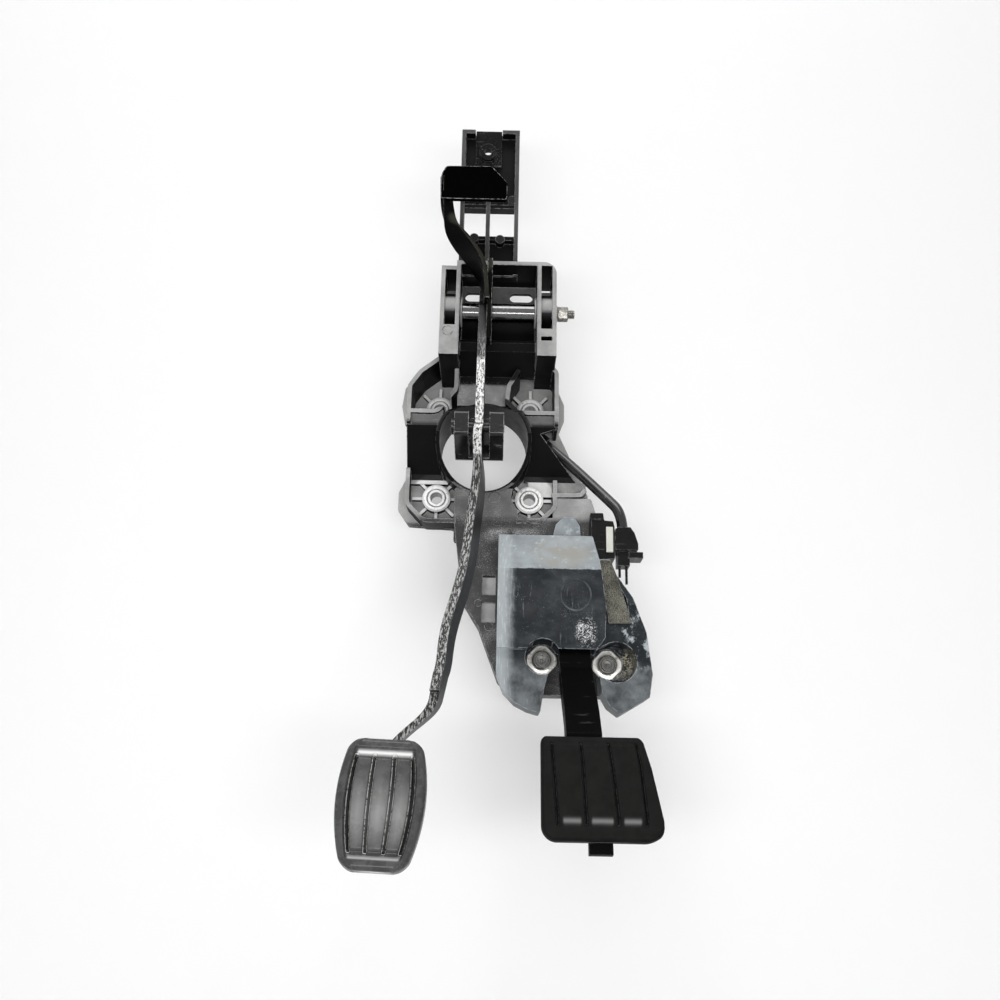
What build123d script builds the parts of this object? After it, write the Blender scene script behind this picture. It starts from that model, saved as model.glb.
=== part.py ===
from build123d import *
import math
import os

# Hanging pedal assembly of a car: moulded bracket, brake pedal and electronic accelerator pedal.
# Everything is drawn in the driver's view: x to the right, y up, z from the bulkhead face to the driver,
# with the origin at the centre of the servo opening on the bulkhead face. store() turns each finished
# piece into the part's own frame: +X right, +Z up, +Y towards the bulkhead. Sizes are millimetres.

# General walls and clearances
wall = 3.2
face_gap = 0.3
running_gap = 0.06
slip_gap = 0.15

# Bulkhead flange and its four studs
stud_pitch_x = 72.0
stud_pitch_y = 74.0
stud_hole_r = 4.5
flange_t = 4.0
sleeve_r = 6.5
sleeve_lip_r = 10.0
sleeve_lip_t = 1.0
sleeve_gap = 0.05
boss_r = 11.0
boss_top = 11.5
boss_rib_t = 2.4
boss_rib_count = 8
boss_rib_len = 9.0

# Servo opening
opening_r = 33.5
collar_wall = 3.0
collar_top_z = 44.0
plate_z = 31.0

# Pockets round the studs and the sloped side webs
upper_wall_z = 40.0
lower_wall_z = 21.0
shelf_y = 25.5
side_x_left = 59.5
side_x_right = 57.0
web_foot_y = -22.0
web_foot_z = 9.0
web_head_z = 38.0

# Pivot box
pivot_y = 103.0
pivot_z = 50.0
box_left = -20.5
box_right = 38.7
box_front_z = 66.0
box_back_z = 32.0
box_top_y = 139.5
cheek_gap = 8.5
cheek_foot_y = 59.5
cheek_sill_y = 84.0
pivot_boss_r = 14.0
left_cheek_drop = 4.8
box_corner_r = 10.0
floor_lip_z = 47.0
floor_lip_y = 82.0
floor_foot_y = 57.0
cheek_web_top_y = 128.0
cheek_web_z = 36.0
slot_len = 18.5
slot_height = 7.6
slot_y = 126.7

# Leaning top extension
lean_deg = 8.0
tower_width = 46.6
tower_height = 125.0
tower_depth = 12.0
tower_rib = 3.2
ejector_mark_r = 3.6
cap_height = 60.0
fixing_hole_r = 6.0
fixing_drop = 18.0

# Lower plate
tray_z = 20.0
tray_skin = 3.0
window_floor_z = 8.0

# Brake pivot
bolt_r = 4.0
spacer_r = 5.0
bush_r = 6.0
bush_lip_r = 11.8
bush_lip_t = 1.3
hub_r = 7.3
thread_r = 3.0
nut_af = 10.0
nut_len = 8.0
nut_lip_r = 6.6
nut_lip_t = 1.8
thread_end = 5.0
head_af = 13.0
head_len = 5.0

# Brake pedal
blade_t = 6.0
blade_mid_x = -2.6
blade_w = 27.0
hub_plate_r = 17.0
lever_t = 4.0
lever_back_z = 67.0
lever_front_z = 91.0
clip_pin_y = -4.0
clip_pin_z = 78.0
clip_pin_r = 4.0
clip_half_w = 18.0
pad_tilt_deg = 14.0
pad_x = -50.5
pad_y = -265.0
pad_back_z = 150.0
pad_h = 73.0
pad_w_mid = 51.0
pad_w_top = 41.0
pad_w_foot = 35.0
pad_t = 9.0
pad_plate_t = 3.0
pad_groove = 2.2
pad_groove_d = 2.2

# Accelerator module
accel_y = -118.0
accel_z = 44.0
accel_pin_r = 4.0
accel_hub_r = 11.0
accel_hub_len = 22.0
accel_ear_t = 4.0
rotor_t = 3.0
rotor_r = 8.5
arm_mid_x = 68.0
arm_w = 22.0
notch_left = 47.0
notch_right = 87.0
notch_top_y = -158.0
housing_left = 13.0
housing_top_y = -76.0
ridge_y = -104.0
ridge_z = 64.0
housing_top_z = 50.0
shell_t = 2.4
base_t = 4.0
shoulder_z = 46.0
seat_z = 28.0
board_z = 34.0
spring_r = 4.0
spring_wire = 1.1
spring_z = 29.8
board_t = 1.6
left_bolt_x = 45.5
left_bolt_y = -163.5
right_bolt_x = 92.5
right_bolt_y = -166.0
module_bolt_r = 3.0
module_bolt_af = 13.0
module_bolt_lip_r = 10.5
recess_r = 12.2
accel_pad_x = 76.0
accel_pad_y = -253.5
accel_pad_z = 118.0
accel_pad_tilt_deg = 12.0
accel_pad_t = 8.0

# Sensor lead
lead_r = 4.0
lead_end_w = 10.0
lead_end_len = 11.0
lead_end_z = 12.8


def store(shape):
    """Turn a piece from the driver's view into the part's own frame."""
    return Plane(origin=(0, 0, 0), x_dir=(1, 0, 0), z_dir=(0, -1, 0)) * shape


def front(points, z0, z1, radius=0.0):
    """A block whose outline is seen by the driver, between two distances from the bulkhead."""
    if radius:
        outline = FilletPolyline(*points, radius=radius, close=True)
    else:
        outline = Polyline(*points, close=True)
    return Pos(0, 0, z0) * extrude(make_face(outline), amount=z1 - z0)


def side(points, x0, x1, radius=0.0):
    """A block whose outline is seen from the side, as pairs of distance and height."""
    if radius:
        outline = FilletPolyline(*points, radius=radius, close=True)
    else:
        outline = Polyline(*points, close=True)
    view = Plane(origin=(x1, 0, 0), x_dir=(0, 0, 1), z_dir=(-1, 0, 0))
    return view * extrude(make_face(outline), amount=x1 - x0)


def block(x0, x1, y0, y1, z0, z1):
    """A plain block between two corners."""
    return Pos((x0 + x1) / 2, (y0 + y1) / 2, (z0 + z1) / 2) * Box(x1 - x0, y1 - y0, z1 - z0)


def post(r, x, y, z0, z1):
    """A round bar that points at the driver."""
    return Pos(x, y, (z0 + z1) / 2) * Cylinder(r, z1 - z0)


def shaft(r, x0, x1, y, z):
    """A round bar that lies across the car."""
    return Pos((x0 + x1) / 2, y, z) * Rot(0, 90, 0) * Cylinder(r, x1 - x0)


def hexagon(across_flats, x0, x1, y, z):
    """A hexagon bar that lies across the car."""
    profile = RegularPolygon(across_flats / math.sqrt(3), 6)
    return Pos(x0, y, z) * Rot(0, 90, 0) * extrude(profile, amount=x1 - x0)


def rib(points, z0, z1, radius, thick=wall):
    """A thin wall that stands on the bulkhead side and follows a line."""
    line = FilletPolyline(*points, radius=radius)
    return Pos(0, 0, z0) * extrude(trace(line, line_width=thick), amount=z1 - z0)


def stud_places():
    """The centres of the four studs."""
    return [(sx * stud_pitch_x / 2, sy * stud_pitch_y / 2) for sy in (1, -1) for sx in (-1, 1)]


def cheek_walls():
    """The four wall planes of the two cheeks, as pairs of x."""
    return [
        (box_left - wall - cheek_gap - wall, box_left - wall - cheek_gap),
        (box_left - wall, box_left),
        (box_right, box_right + wall),
        (box_right + wall + cheek_gap, box_right + wall + cheek_gap + wall),
    ]


# Bracket
def flange():
    """The flat plate that lies on the bulkhead, with an ear beside each stud."""
    ear_l = stud_pitch_x / 2 + 31
    ear_r = stud_pitch_x / 2 + 27.5
    half = stud_pitch_y / 2
    points = [
        (-37, 84), (-54, 71), (-ear_l + 2, 58), (-ear_l, half + 5), (-ear_l + 3, half - 10),
        (-side_x_left, half - 14), (-side_x_left, -half + 20), (-ear_l + 1, -half + 6),
        (-ear_l + 1, -half - 8), (-ear_l + 10, -half - 21), (-22, -half - 23),
        (-22, -70), (80, -70), (82, -31), (side_x_right + 2, half - 16),
        (ear_r, half - 4), (ear_r, half + 9), (57, half + 25), (54, 84),
    ]
    return front(points, 0, flange_t, 2.0)


def boss(x, y):
    """One stud boss with its radial ribs."""
    body = post(boss_r, x, y, 0, boss_top - sleeve_lip_t)
    for turn in range(boss_rib_count):
        arm = Pos(boss_r + boss_rib_len / 2 - 1, 0, 0) * Box(boss_rib_len, boss_rib_t, boss_top - 3)
        body += Pos(x, y, (boss_top - 3) / 2) * Rot(0, 0, turn * 360 / boss_rib_count) * arm
    return body


def pocket_walls():
    """The walls round the four studs: curved ribs, shelves and rounded corners."""
    upper_left = rib([(box_left - wall / 2, cheek_foot_y + 2), (box_left - wall / 2, 43), (-36, shelf_y - wall / 2),
                      (-side_x_left + wall / 2, shelf_y - wall / 2)], 0, upper_wall_z, 6.0)
    outer_left = rib([(-34, 70), (-50, 57), (-side_x_left + wall / 2, 45), (-side_x_left + wall / 2, 15)],
                     0, upper_wall_z, 6.0)
    upper_right = rib([(26, cheek_foot_y), (18.5, 46), (17, 33), (26, shelf_y - wall / 2),
                       (side_x_right - wall / 2, shelf_y - wall / 2)], 0, upper_wall_z, 4.5)
    outer_right = rib([(47, 68), (side_x_right - wall / 2, 58), (side_x_right - wall / 2, 15)],
                      0, upper_wall_z, 5.0)
    lower_left = rib([(-side_x_left + wall / 2, web_foot_y + 6), (-side_x_left + wall / 2, -44),
                      (-45, -59.5 + wall / 2), (-20, -59.5 + wall / 2)], 0, lower_wall_z, 9.0)
    lower_right = rib([(side_x_right - wall / 2, web_foot_y - 2), (side_x_right - wall / 2, -46),
                       (44, -57), (26, -57)], 0, lower_wall_z, 9.0)
    return [upper_left, outer_left, upper_right, outer_right, lower_left, lower_right]


def web_profile(drop):
    """The sloped skin between an upper shelf and the stud below it, seen from the side."""
    outer = [(web_head_z, shelf_y), (web_head_z - 4, shelf_y - 11), (22, -3), (web_foot_z + 2, web_foot_y + 4),
             (web_foot_z, web_foot_y)]
    inner = [(z - drop, y) for z, y in reversed(outer)]
    return outer + inner


def side_webs():
    """The sloped webs left and right of the opening, the right one cut along the sensor lead."""
    left = side(web_profile(wall), -side_x_left, -opening_r + 2)
    filled = [(0, shelf_y)] + web_profile(wall)[:5] + [(0, web_foot_y)]
    cheek = side(filled, -side_x_left, -side_x_left + wall)
    right = side(web_profile(wall), opening_r - 2, 84)
    lead_cut = front([(43.5, 10), (80, -30), (110, -30), (110, 60), (side_x_right, 60), (side_x_right, 14)], -1, 60)
    right -= lead_cut
    foot_left = block(-side_x_left, -opening_r + 6, web_foot_y - wall, web_foot_y, 0, web_foot_z)
    foot_right = block(opening_r - 8, 80, web_foot_y - 12, web_foot_y - 12 + wall, 0, web_foot_z)
    skirt = block(opening_r + 2, 80, web_foot_y - 10, web_foot_y + 0.5, web_foot_z - wall, web_foot_z)
    lip = rib([(side_x_right - 4, -36), (75, -35.5), (78.5, -31)], 0, lower_wall_z, 2.5)
    lead_rest = block(41, 47, 8, 14, flange_t - 1, lead_end_z - lead_end_w / 2)
    return [left, cheek, right, foot_left, foot_right, skirt, lip, lead_rest]


def collar():
    """The deep collar round the opening, cut back at its top and foot."""
    ring = post(opening_r + collar_wall, 0, 0, 0, collar_top_z) - post(opening_r, 0, 0, -1, collar_top_z + 1)
    keep = [(0, 60), (plate_z, 60), (plate_z, opening_r - 1), (collar_top_z, 22), (collar_top_z, 6),
            (22, -27), (tray_z, -opening_r), (tray_z, -60), (0, -60)]
    return ring & side(keep, -60, 60)


def cheek_outline():
    """The side view of a cheek: it leans back to the bulkhead flange below."""
    return [(0, cheek_foot_y), (0, 84), (22, 118), (28, box_top_y), (box_front_z, box_top_y),
            (box_front_z, cheek_foot_y)]


def cheek(x0, x1, top_y, sill_y):
    """A double-wall cheek: two walls, a roof, a closed front below the sill and the pivot boss."""
    outline = [(z, min(y, top_y)) for z, y in cheek_outline()]
    shell = side(outline, x0, x1)
    shell -= block(x0 + wall, x1 - wall, sill_y, top_y - wall, -1, box_front_z + 1)
    shell -= block(x0 + wall, x1 - wall, cheek_foot_y + wall, sill_y - wall, -1, box_front_z - wall)
    shell += block(x0 + wall, x1 - wall, pivot_y + 6, cheek_web_top_y, cheek_web_z, cheek_web_z + wall)
    shell += shaft(pivot_boss_r, x0, x1, pivot_y, pivot_z)
    return shell


def pivot_box():
    """The box that holds the brake pivot between its two cheeks."""
    walls = cheek_walls()
    left = cheek(walls[0][0], walls[1][1], box_top_y - left_cheek_drop, cheek_sill_y)
    left += side(cheek_outline(), walls[1][0], walls[1][1])
    right = cheek(walls[2][0], walls[3][1], box_top_y, cheek_sill_y - 2)
    corner = block(walls[3][1] - box_corner_r, walls[3][1] + 1, box_top_y - box_corner_r, box_top_y + 1,
                   -1, box_front_z + 1)
    right -= corner - post(box_corner_r, walls[3][1] - box_corner_r, box_top_y - box_corner_r,
                           -1, box_front_z + 1)
    right -= block(walls[2][1], walls[3][0], 72, cheek_sill_y - 2 - wall * 2, box_front_z - 12, box_front_z + 1)
    roof = block(box_left, box_right, box_top_y - wall, box_top_y, 28, box_front_z)
    back = block(box_left, box_right, floor_lip_y - 4, box_top_y, box_back_z - wall, box_back_z)
    middle = (box_left + box_right) / 2
    for shift in (-0.57, 0.57):
        slot = SlotOverall(slot_len, slot_height)
        cut = extrude(slot, amount=3 * wall)
        back -= Pos(middle + shift * (slot_len + 13), slot_y, box_back_z - 2 * wall) * cut
    floor_points = [(box_back_z - wall, floor_lip_y), (floor_lip_z - 2, floor_lip_y), (floor_lip_z, floor_lip_y - 3),
                    (floor_lip_z - 1, floor_lip_y - 10), (plate_z + 6, floor_foot_y + 6), (plate_z, floor_foot_y),
                    (plate_z - wall, floor_foot_y), (plate_z - wall, floor_foot_y + 8), (floor_lip_z - 6, floor_lip_y - 8),
                    (floor_lip_z - 6, floor_lip_y - wall), (box_back_z - wall, floor_lip_y - wall)]
    floor = side(floor_points, box_left, box_right)
    face = block(box_left - 1, 30, opening_r - 1, floor_foot_y + 1, plate_z - wall, plate_z)
    face -= front([(31, 70), (26, cheek_foot_y), (18.5, 46), (17, 33), (26, 24), (40, 24), (40, 70)], 0, 60)
    behind = block(box_left - wall, box_right + wall, cheek_foot_y + 20, 84, 0, flange_t)
    return [left, right, roof, back, floor, face, behind]


def tower_frame():
    """The plane of the leaning extension: its foot is on the box roof, z points at the driver."""
    return Pos(0, box_top_y - wall, box_front_z - 26) * Rot(lean_deg, 0, 0)


def tower():
    """The lattice extension with its closed cap plate."""
    half = tower_width / 2
    pieces = []
    for x in (-half + tower_rib / 2, -1.0, half - tower_rib / 2):
        top = tower_height if abs(x) > 5 else tower_height - cap_height + 2
        pieces.append(block(x - tower_rib / 2, x + tower_rib / 2, 0, top, 0, tower_depth))
    for y in (0.0, 31.0, 58.0):
        pieces.append(block(-half, half, y, y + tower_rib, 0, tower_depth - 2))
    cap_foot = tower_height - cap_height
    pieces.append(block(-half, half, cap_foot, tower_height, 0, wall))
    pieces.append(block(-half, half, 0, 31.0, 0, wall))
    boss_y = tower_height - fixing_drop
    pieces.append(Pos(-2, boss_y, 0) * extrude(RegularPolygon(10.0, 8), amount=wall + 2.5))
    pieces += [block(-half, -12.4, tower_height - tower_rib, tower_height, 0, tower_depth),
               block(9.4, half, tower_height - tower_rib, tower_height, 0, tower_depth)]
    pieces += [post(ejector_mark_r, x, y, 0, tower_depth - 1) for x, y in ((18.3, cap_foot), (-11.5, 32.5), (9.0, 31.5))]
    shape = pieces[0].fuse(*pieces[1:]) - Pos(-2, boss_y, 0) * Cylinder(fixing_hole_r, 40)
    return tower_frame() * shape


def lower_plate():
    """The ribbed plate that carries the accelerator module."""
    outline = [(-21.5, -56), (-13.5, -118), (-1, -138), (14, -177), (23, -187), (94, -187), (113, -182),
               (118, -168), (115, -148), (107, -122), (96, -99), (90, -62), (83, -38), (26, -38), (26, -31), (-21.5, -31)]
    skin = front(outline, tray_z - tray_skin, tray_z, 2.0)
    rim_outline = make_face(FilletPolyline(*outline, radius=2.0, close=True))
    rim = extrude(rim_outline, amount=tray_z) - extrude(offset(rim_outline, -wall), amount=tray_z)
    grid = [block(-30, 130, y - 1, y + 1, 4, tray_z) for y in (-80.0, -98.0, -116.0, -138.0, -160.0)]
    grid += [block(x - 1, x + 1, -190, -56, 4, tray_z) for x in (0.0, 25.0, 50.0, 75.0)]
    grid = grid[0].fuse(*grid[1:]) & front(outline, 4, tray_z)
    bolts = [post(9.0, x, y, 4, tray_z) for x, y in ((left_bolt_x, left_bolt_y), (right_bolt_x, right_bolt_y))]
    floor = block(-4, 26, -139, -97, window_floor_z, window_floor_z + 2) & front(outline, 4, tray_z)
    cuts = [block(1.6, 11.4, y - 7.4, y + 7.4, window_floor_z + 2, tray_z + 1) for y in (-107.0, -127.5)]
    cuts.append(Pos(stud_pitch_x / 2, -stud_pitch_y / 2, 0) * Cylinder(14.0, 80))
    cuts.append(block(27, side_x_right - wall, -54, -20, 0, tray_z + 1))
    return (skin + rim).fuse(grid, floor, *bolts).cut(*cuts)


def module_fixings():
    """The cutters for the holes in the lower plate, for the module's bolts and nuts."""
    cuts = []
    for x, y in ((left_bolt_x, left_bolt_y), (right_bolt_x, right_bolt_y)):
        cuts.append(post(module_bolt_r + face_gap, x, y, -1, tray_z + 1))
        cuts.append(Pos(x, y, 3) * extrude(RegularPolygon(5.2 / math.cos(math.pi / 6), 6), amount=9))
    return cuts


def pedal_bracket():
    """The one moulding that carries everything."""
    pieces = [flange(), collar(), tower(), lower_plate()]
    pieces += [boss(x, y) for x, y in stud_places()]
    pieces += pocket_walls() + side_webs() + pivot_box()
    walls = cheek_walls()
    cuts = [post(opening_r, 0, 0, -1, 60)]
    cuts += [post(sleeve_r + sleeve_gap, x, y, -1, 60) for x, y in stud_places()]
    cuts += [post(sleeve_lip_r + slip_gap, x, y, boss_top - sleeve_lip_t, boss_top + 60) for x, y in stud_places()]
    cuts += module_fixings()
    cuts.append(shaft(bolt_r + slip_gap, walls[0][0] - 1, walls[3][1] + 1, pivot_y, pivot_z))
    cuts.append(shaft(head_af / math.sqrt(3) + 1, walls[0][0] - 1, walls[0][0] + head_len + 0.5, pivot_y, pivot_z))
    return pieces[0].fuse(*pieces[1:]).cut(*cuts)


def mounting_sleeves():
    """Four flanged steel sleeves that take the clamping load of the studs."""
    group = []
    for x, y in stud_places():
        sleeve = post(sleeve_r, x, y, 0, boss_top) + post(sleeve_lip_r, x, y, boss_top - sleeve_lip_t, boss_top)
        group.append(sleeve - post(stud_hole_r, x, y, -1, boss_top + 1))
    return Compound(children=[solid for sleeve in group for solid in sleeve.solids()])


# Brake pivot
def pivot_bolt():
    """The bolt through both cheeks, with its thread end and point on the right."""
    walls = cheek_walls()
    x0 = walls[0][0] + 0.5
    head = hexagon(head_af, x0, x0 + head_len, pivot_y, pivot_z)
    shank = shaft(bolt_r, x0 + head_len, walls[3][1], pivot_y, pivot_z)
    nut_end = walls[3][1] + nut_lip_t + nut_len
    thread = shaft(thread_r, walls[3][1], nut_end + 2, pivot_y, pivot_z)
    point = shaft(thread_r * 0.6, nut_end + 2, nut_end + thread_end, pivot_y, pivot_z)
    return head + shank + thread + point


def pivot_nut():
    """The flanged nut on the right cheek."""
    x0 = cheek_walls()[3][1]
    body = shaft(nut_lip_r, x0, x0 + nut_lip_t, pivot_y, pivot_z)
    body += hexagon(nut_af, x0 + nut_lip_t, x0 + nut_lip_t + nut_len, pivot_y, pivot_z)
    return body - shaft(thread_r, x0 - 1, x0 + 30, pivot_y, pivot_z)


def pivot_spacer():
    """The steel tube that holds the cheeks apart and carries the bushes."""
    tube = shaft(spacer_r, box_left, box_right, pivot_y, pivot_z)
    return tube - shaft(bolt_r + slip_gap, box_left - 1, box_right + 1, pivot_y, pivot_z)


def brake_bushes():
    """Two flanged bearing bushes, one pushed into each end of the hub tube."""
    group = []
    for x, way in ((box_left + face_gap, 1), (box_right - face_gap, -1)):
        lip = shaft(bush_lip_r, min(x, x + way * bush_lip_t), max(x, x + way * bush_lip_t), pivot_y, pivot_z)
        tube = shaft(bush_r, min(x, x + way * 16), max(x, x + way * 16), pivot_y, pivot_z)
        bush = lip + tube - shaft(spacer_r + running_gap, box_left - 5, box_right + 5, pivot_y, pivot_z)
        group.append(bush)
    return Compound(children=[solid for bush in group for solid in bush.solids()])


def brake_hub_tube():
    """The tube welded through the brake arm."""
    x0 = box_left + face_gap + bush_lip_t
    x1 = box_right - face_gap - bush_lip_t
    tube = shaft(hub_r, x0, x1, pivot_y, pivot_z)
    tube -= shaft(bush_r, x0 - 1, x0 + 15, pivot_y, pivot_z)
    tube -= shaft(bush_r, x1 - 15, x1 + 1, pivot_y, pivot_z)
    return tube - shaft(spacer_r + 0.5, x0 - 1, x1 + 1, pivot_y, pivot_z)


# Brake pedal
def blade_section(y, x, z_front, width, skew_deg):
    """One level section of the blade, a narrow rectangle turned a little about the vertical."""
    thin = Rectangle(blade_t, width)
    level = Plane(origin=(x, y, z_front - width / 2), x_dir=(1, 0, 0), z_dir=(0, 1, 0))
    return level * (Rot(0, 0, -skew_deg) * thin)


def pad_plane():
    """The back face of the brake pad: its z axis points at the driver and a little up."""
    return Pos(pad_x, pad_y, pad_back_z) * Rot(-pad_tilt_deg, 0, 0) * Rot(0, 0, -2.0)


def brake_arm():
    """The pressed steel blade: hub plate, straight run and the cranked foot."""
    hub_side = [(pivot_z + 12, pivot_y + 10), (pivot_z + hub_plate_r + 3, pivot_y - 4), (81, 60), (86, 20), (89, -6),
                (62, -6), (59, 30), (57.5, 62), (57.5, 80), (pivot_z - 3, pivot_y - 15), (pivot_z - 12, pivot_y - 10)]
    upper = side(hub_side, blade_mid_x - blade_t / 2, blade_mid_x + blade_t / 2, 3.0)
    upper += shaft(hub_plate_r, blade_mid_x - blade_t / 2, blade_mid_x + blade_t / 2, pivot_y, pivot_z)
    stations = [
        (-5.9, -2.6, 89.0, blade_w, 0), (-30, -2.3, 91.5, blade_w, 3), (-62, -3.0, 95.5, blade_w, 8),
        (-86, -5.2, 100.5, 26.0, 9), (-110, -7.5, 106.5, 25.0, 9), (-137, -13.0, 114.0, 24.0, 9),
        (-164, -18.5, 122.5, 22.0, 9), (-187, -21.0, 130.0, 20.0, 8),
        (pad_y + 62, pad_x + 27, pad_back_z - 14.5, 18.5, 7), (pad_y + 51, pad_x + 20.5, pad_back_z - 10, 18.0, 6),
        (pad_y + 38, pad_x + 7, pad_back_z - 4.5, 18.0, 3), (pad_y + 27, pad_x + 0.5, pad_back_z, 18.0, 0),
        (pad_y + 3, pad_x, pad_back_z + 8, 18.0, 0),
    ]
    sections = [blade_section(*station) for station in stations]
    run = loft(sections[:8])
    foot = loft(sections[7:9]) + loft(sections[8:])
    room = pad_plane() * (Pos(0, 0, 40 - pad_plate_t) * Box(140, 140, 80))
    shape = upper + run + (foot - room)
    shape -= shaft(hub_r, box_left, box_right, pivot_y, pivot_z)
    return shape - shaft(clip_pin_r, -60, 60, clip_pin_y, clip_pin_z)


def brake_upper_lever():
    """The strap welded beside the hub plate, cranked to the left, with its flat tab on top."""
    x0 = blade_mid_x + blade_t / 2
    foot = side([(pivot_z - 12, pivot_y + 14), (pivot_z + 2, pivot_y + 19), (lever_back_z, 128), (lever_front_z, 128),
                 (lever_front_z, 116), (84, 98), (79, 66), (67, 66), (62, 84), (pivot_z - 9, pivot_y - 12)],
                x0, x0 + lever_t, 3.0)
    strap_line = FilletPolyline((x0 + lever_t / 2, 108), (x0 + lever_t / 2 - 1.5, 121), (-6, 131), (-33, 162),
                                (-36.5, 178), (-37, 207.8), radius=(8.0, 8.0, 9.0, 9.0))
    depth = lever_front_z - lever_back_z
    strap = Pos(0, 0, lever_back_z) * extrude(trace(strap_line, line_width=lever_t), amount=depth)
    tab = front([(-39, 178), (14, 178), (14, 194.4), (1.8, 207.8), (-39, 207.8)],
                lever_front_z - lever_t, lever_front_z, 2.5)
    return (foot + strap + tab) - shaft(hub_r, box_left, box_right, pivot_y, pivot_z)


def pushrod_pin():
    """The headed pin through the arm that carries the pushrod clip."""
    x0 = blade_mid_x - clip_half_w
    pin = shaft(clip_pin_r, x0, blade_mid_x + clip_half_w, clip_pin_y, clip_pin_z)
    return pin + shaft(clip_pin_r + 2, x0 - 2, x0, clip_pin_y, clip_pin_z)


def pushrod_clip():
    """The moulded clip that joins the arm to the servo's pushrod."""
    x0 = blade_mid_x - clip_half_w + face_gap
    x1 = blade_mid_x + clip_half_w - face_gap
    outline = [(clip_pin_z + 9, clip_pin_y + 9), (clip_pin_z + 9, clip_pin_y - 9), (52, clip_pin_y - 16),
               (42, clip_pin_y - 13), (42, clip_pin_y + 15), (56, clip_pin_y + 16)]
    shape = side(outline, x0, x1, 3.0)
    inner = blade_t / 2 + 4.5
    shape -= block(blade_mid_x - inner, blade_mid_x + inner, -60, 60, 55, 120)
    shape -= shaft(clip_pin_r + running_gap, -60, 60, clip_pin_y, clip_pin_z)
    shape -= post(6.5, blade_mid_x, clip_pin_y + 1.5, 30, 50)
    for x in (x0, x1):
        shape -= block(x - 2, x + 2, clip_pin_y - 4, clip_pin_y + 6, 40, 66)
    return shape


def barrel(half_w, half_top, half_foot, half_h, corner):
    """A pad outline whose sides bow out between a shorter top and foot."""
    right = ThreePointArc((half_foot, -half_h), (half_w, -1), (half_top, half_h))
    left = ThreePointArc((-half_top, half_h), (-half_w, -1), (-half_foot, -half_h))
    top = Line((half_top, half_h), (-half_top, half_h))
    foot = Line((-half_foot, -half_h), (half_foot, -half_h))
    face = make_face([right, top, left, foot])
    return fillet(face.vertices(), corner)


def brake_pad():
    """The rubber pad with its raised bars and the seat for the steel plate."""
    outline = barrel(pad_w_mid / 2, pad_w_top / 2, pad_w_foot / 2, pad_h / 2, 7.0)
    body = extrude(outline, amount=pad_t)
    for share in (-0.82, -0.28, 0.28, 0.82):
        reach = share * (pad_w_mid / 2 - 6)
        line = ThreePointArc((reach * 0.8, -pad_h / 2 + 8), (reach, 0), (reach * 0.88, pad_h / 2 - 8))
        body -= Pos(0, 0, pad_t - pad_groove_d) * extrude(trace(line, line_width=pad_groove), amount=pad_groove_d + 1)
    return pad_plane() * body


def brake_pad_plate():
    """The steel plate behind the rubber."""
    outline = barrel(pad_w_mid / 2 - 3, pad_w_top / 2 - 3, pad_w_foot / 2 - 3, pad_h / 2 - 4, 6.0)
    return pad_plane() * (Pos(0, 0, -pad_plate_t) * extrude(outline, amount=pad_plate_t))


# Accelerator module
def module_outline():
    """The outline of the whole module, from the top left corner round to the right."""
    return [
        (housing_left, housing_top_y), (52, housing_top_y), (56, -60), (62, -54), (70, -54), (74, -61), (75, housing_top_y),
        (81, housing_top_y - 2), (84, -92), (94, -92), (98, -103), (110, -120), (119, -145), (122.5, -174),
        (120, -190), (100, -202), (92, -196), (notch_right, -187), (notch_right - 4, notch_top_y),
        (notch_left + 7, notch_top_y), (notch_left, -184), (notch_left - 3, -202), (35, -199.5), (26, -195),
        (18, -187), (housing_left, -174),
    ]


def box_outline(inset=0.0):
    """The outline of the raised mechanism box in the module's cover."""
    return [
        (housing_left + inset, housing_top_y - inset), (81 - inset, housing_top_y - inset), (84.5 - inset, -95),
        (89.5 - inset, -130), (89.0 - inset, -150 + inset), (notch_right - 4 - inset, notch_top_y + inset * 2),
        (housing_left + inset, notch_top_y + inset * 2),
    ]


def accel_base():
    """The rear tray of the module, bolted flat on the lower plate."""
    base = front(module_outline(), tray_z, tray_z + base_t, 1.5)
    for x, y in ((left_bolt_x, left_bolt_y), (right_bolt_x, right_bolt_y)):
        base += post(recess_r - face_gap, x, y, tray_z, seat_z) & front(module_outline(), tray_z, seat_z, 1.5)
    for x, y in ((left_bolt_x, left_bolt_y), (right_bolt_x, right_bolt_y)):
        base -= post(module_bolt_r + face_gap, x, y, tray_z - 1, seat_z + 1)
    x0 = arm_mid_x - accel_hub_len / 2
    x1 = arm_mid_x + accel_hub_len / 2
    for left in (x0 - face_gap - accel_ear_t, x1 + face_gap):
        ear = [(tray_z + base_t, accel_y - 9), (tray_z + base_t, accel_y + 9), (accel_z + 3, accel_y + 8),
               (accel_z + 8, accel_y), (accel_z + 3, accel_y - 8)]
        base += side(ear, left, left + accel_ear_t)
    return base - shaft(accel_pin_r, x0 - 20, x1 + 20, accel_y, accel_z)


def cover_profile(inset=0.0):
    """The side view of the raised box, with the ridge across its face."""
    return [
        (tray_z + base_t, housing_top_y + 40), (housing_top_z - inset, housing_top_y + 40),
        (housing_top_z - inset, housing_top_y - inset), (ridge_z - inset, ridge_y), (51 - inset, notch_top_y + inset),
        (45 - inset, -205), (tray_z + base_t, -205),
    ]


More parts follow.
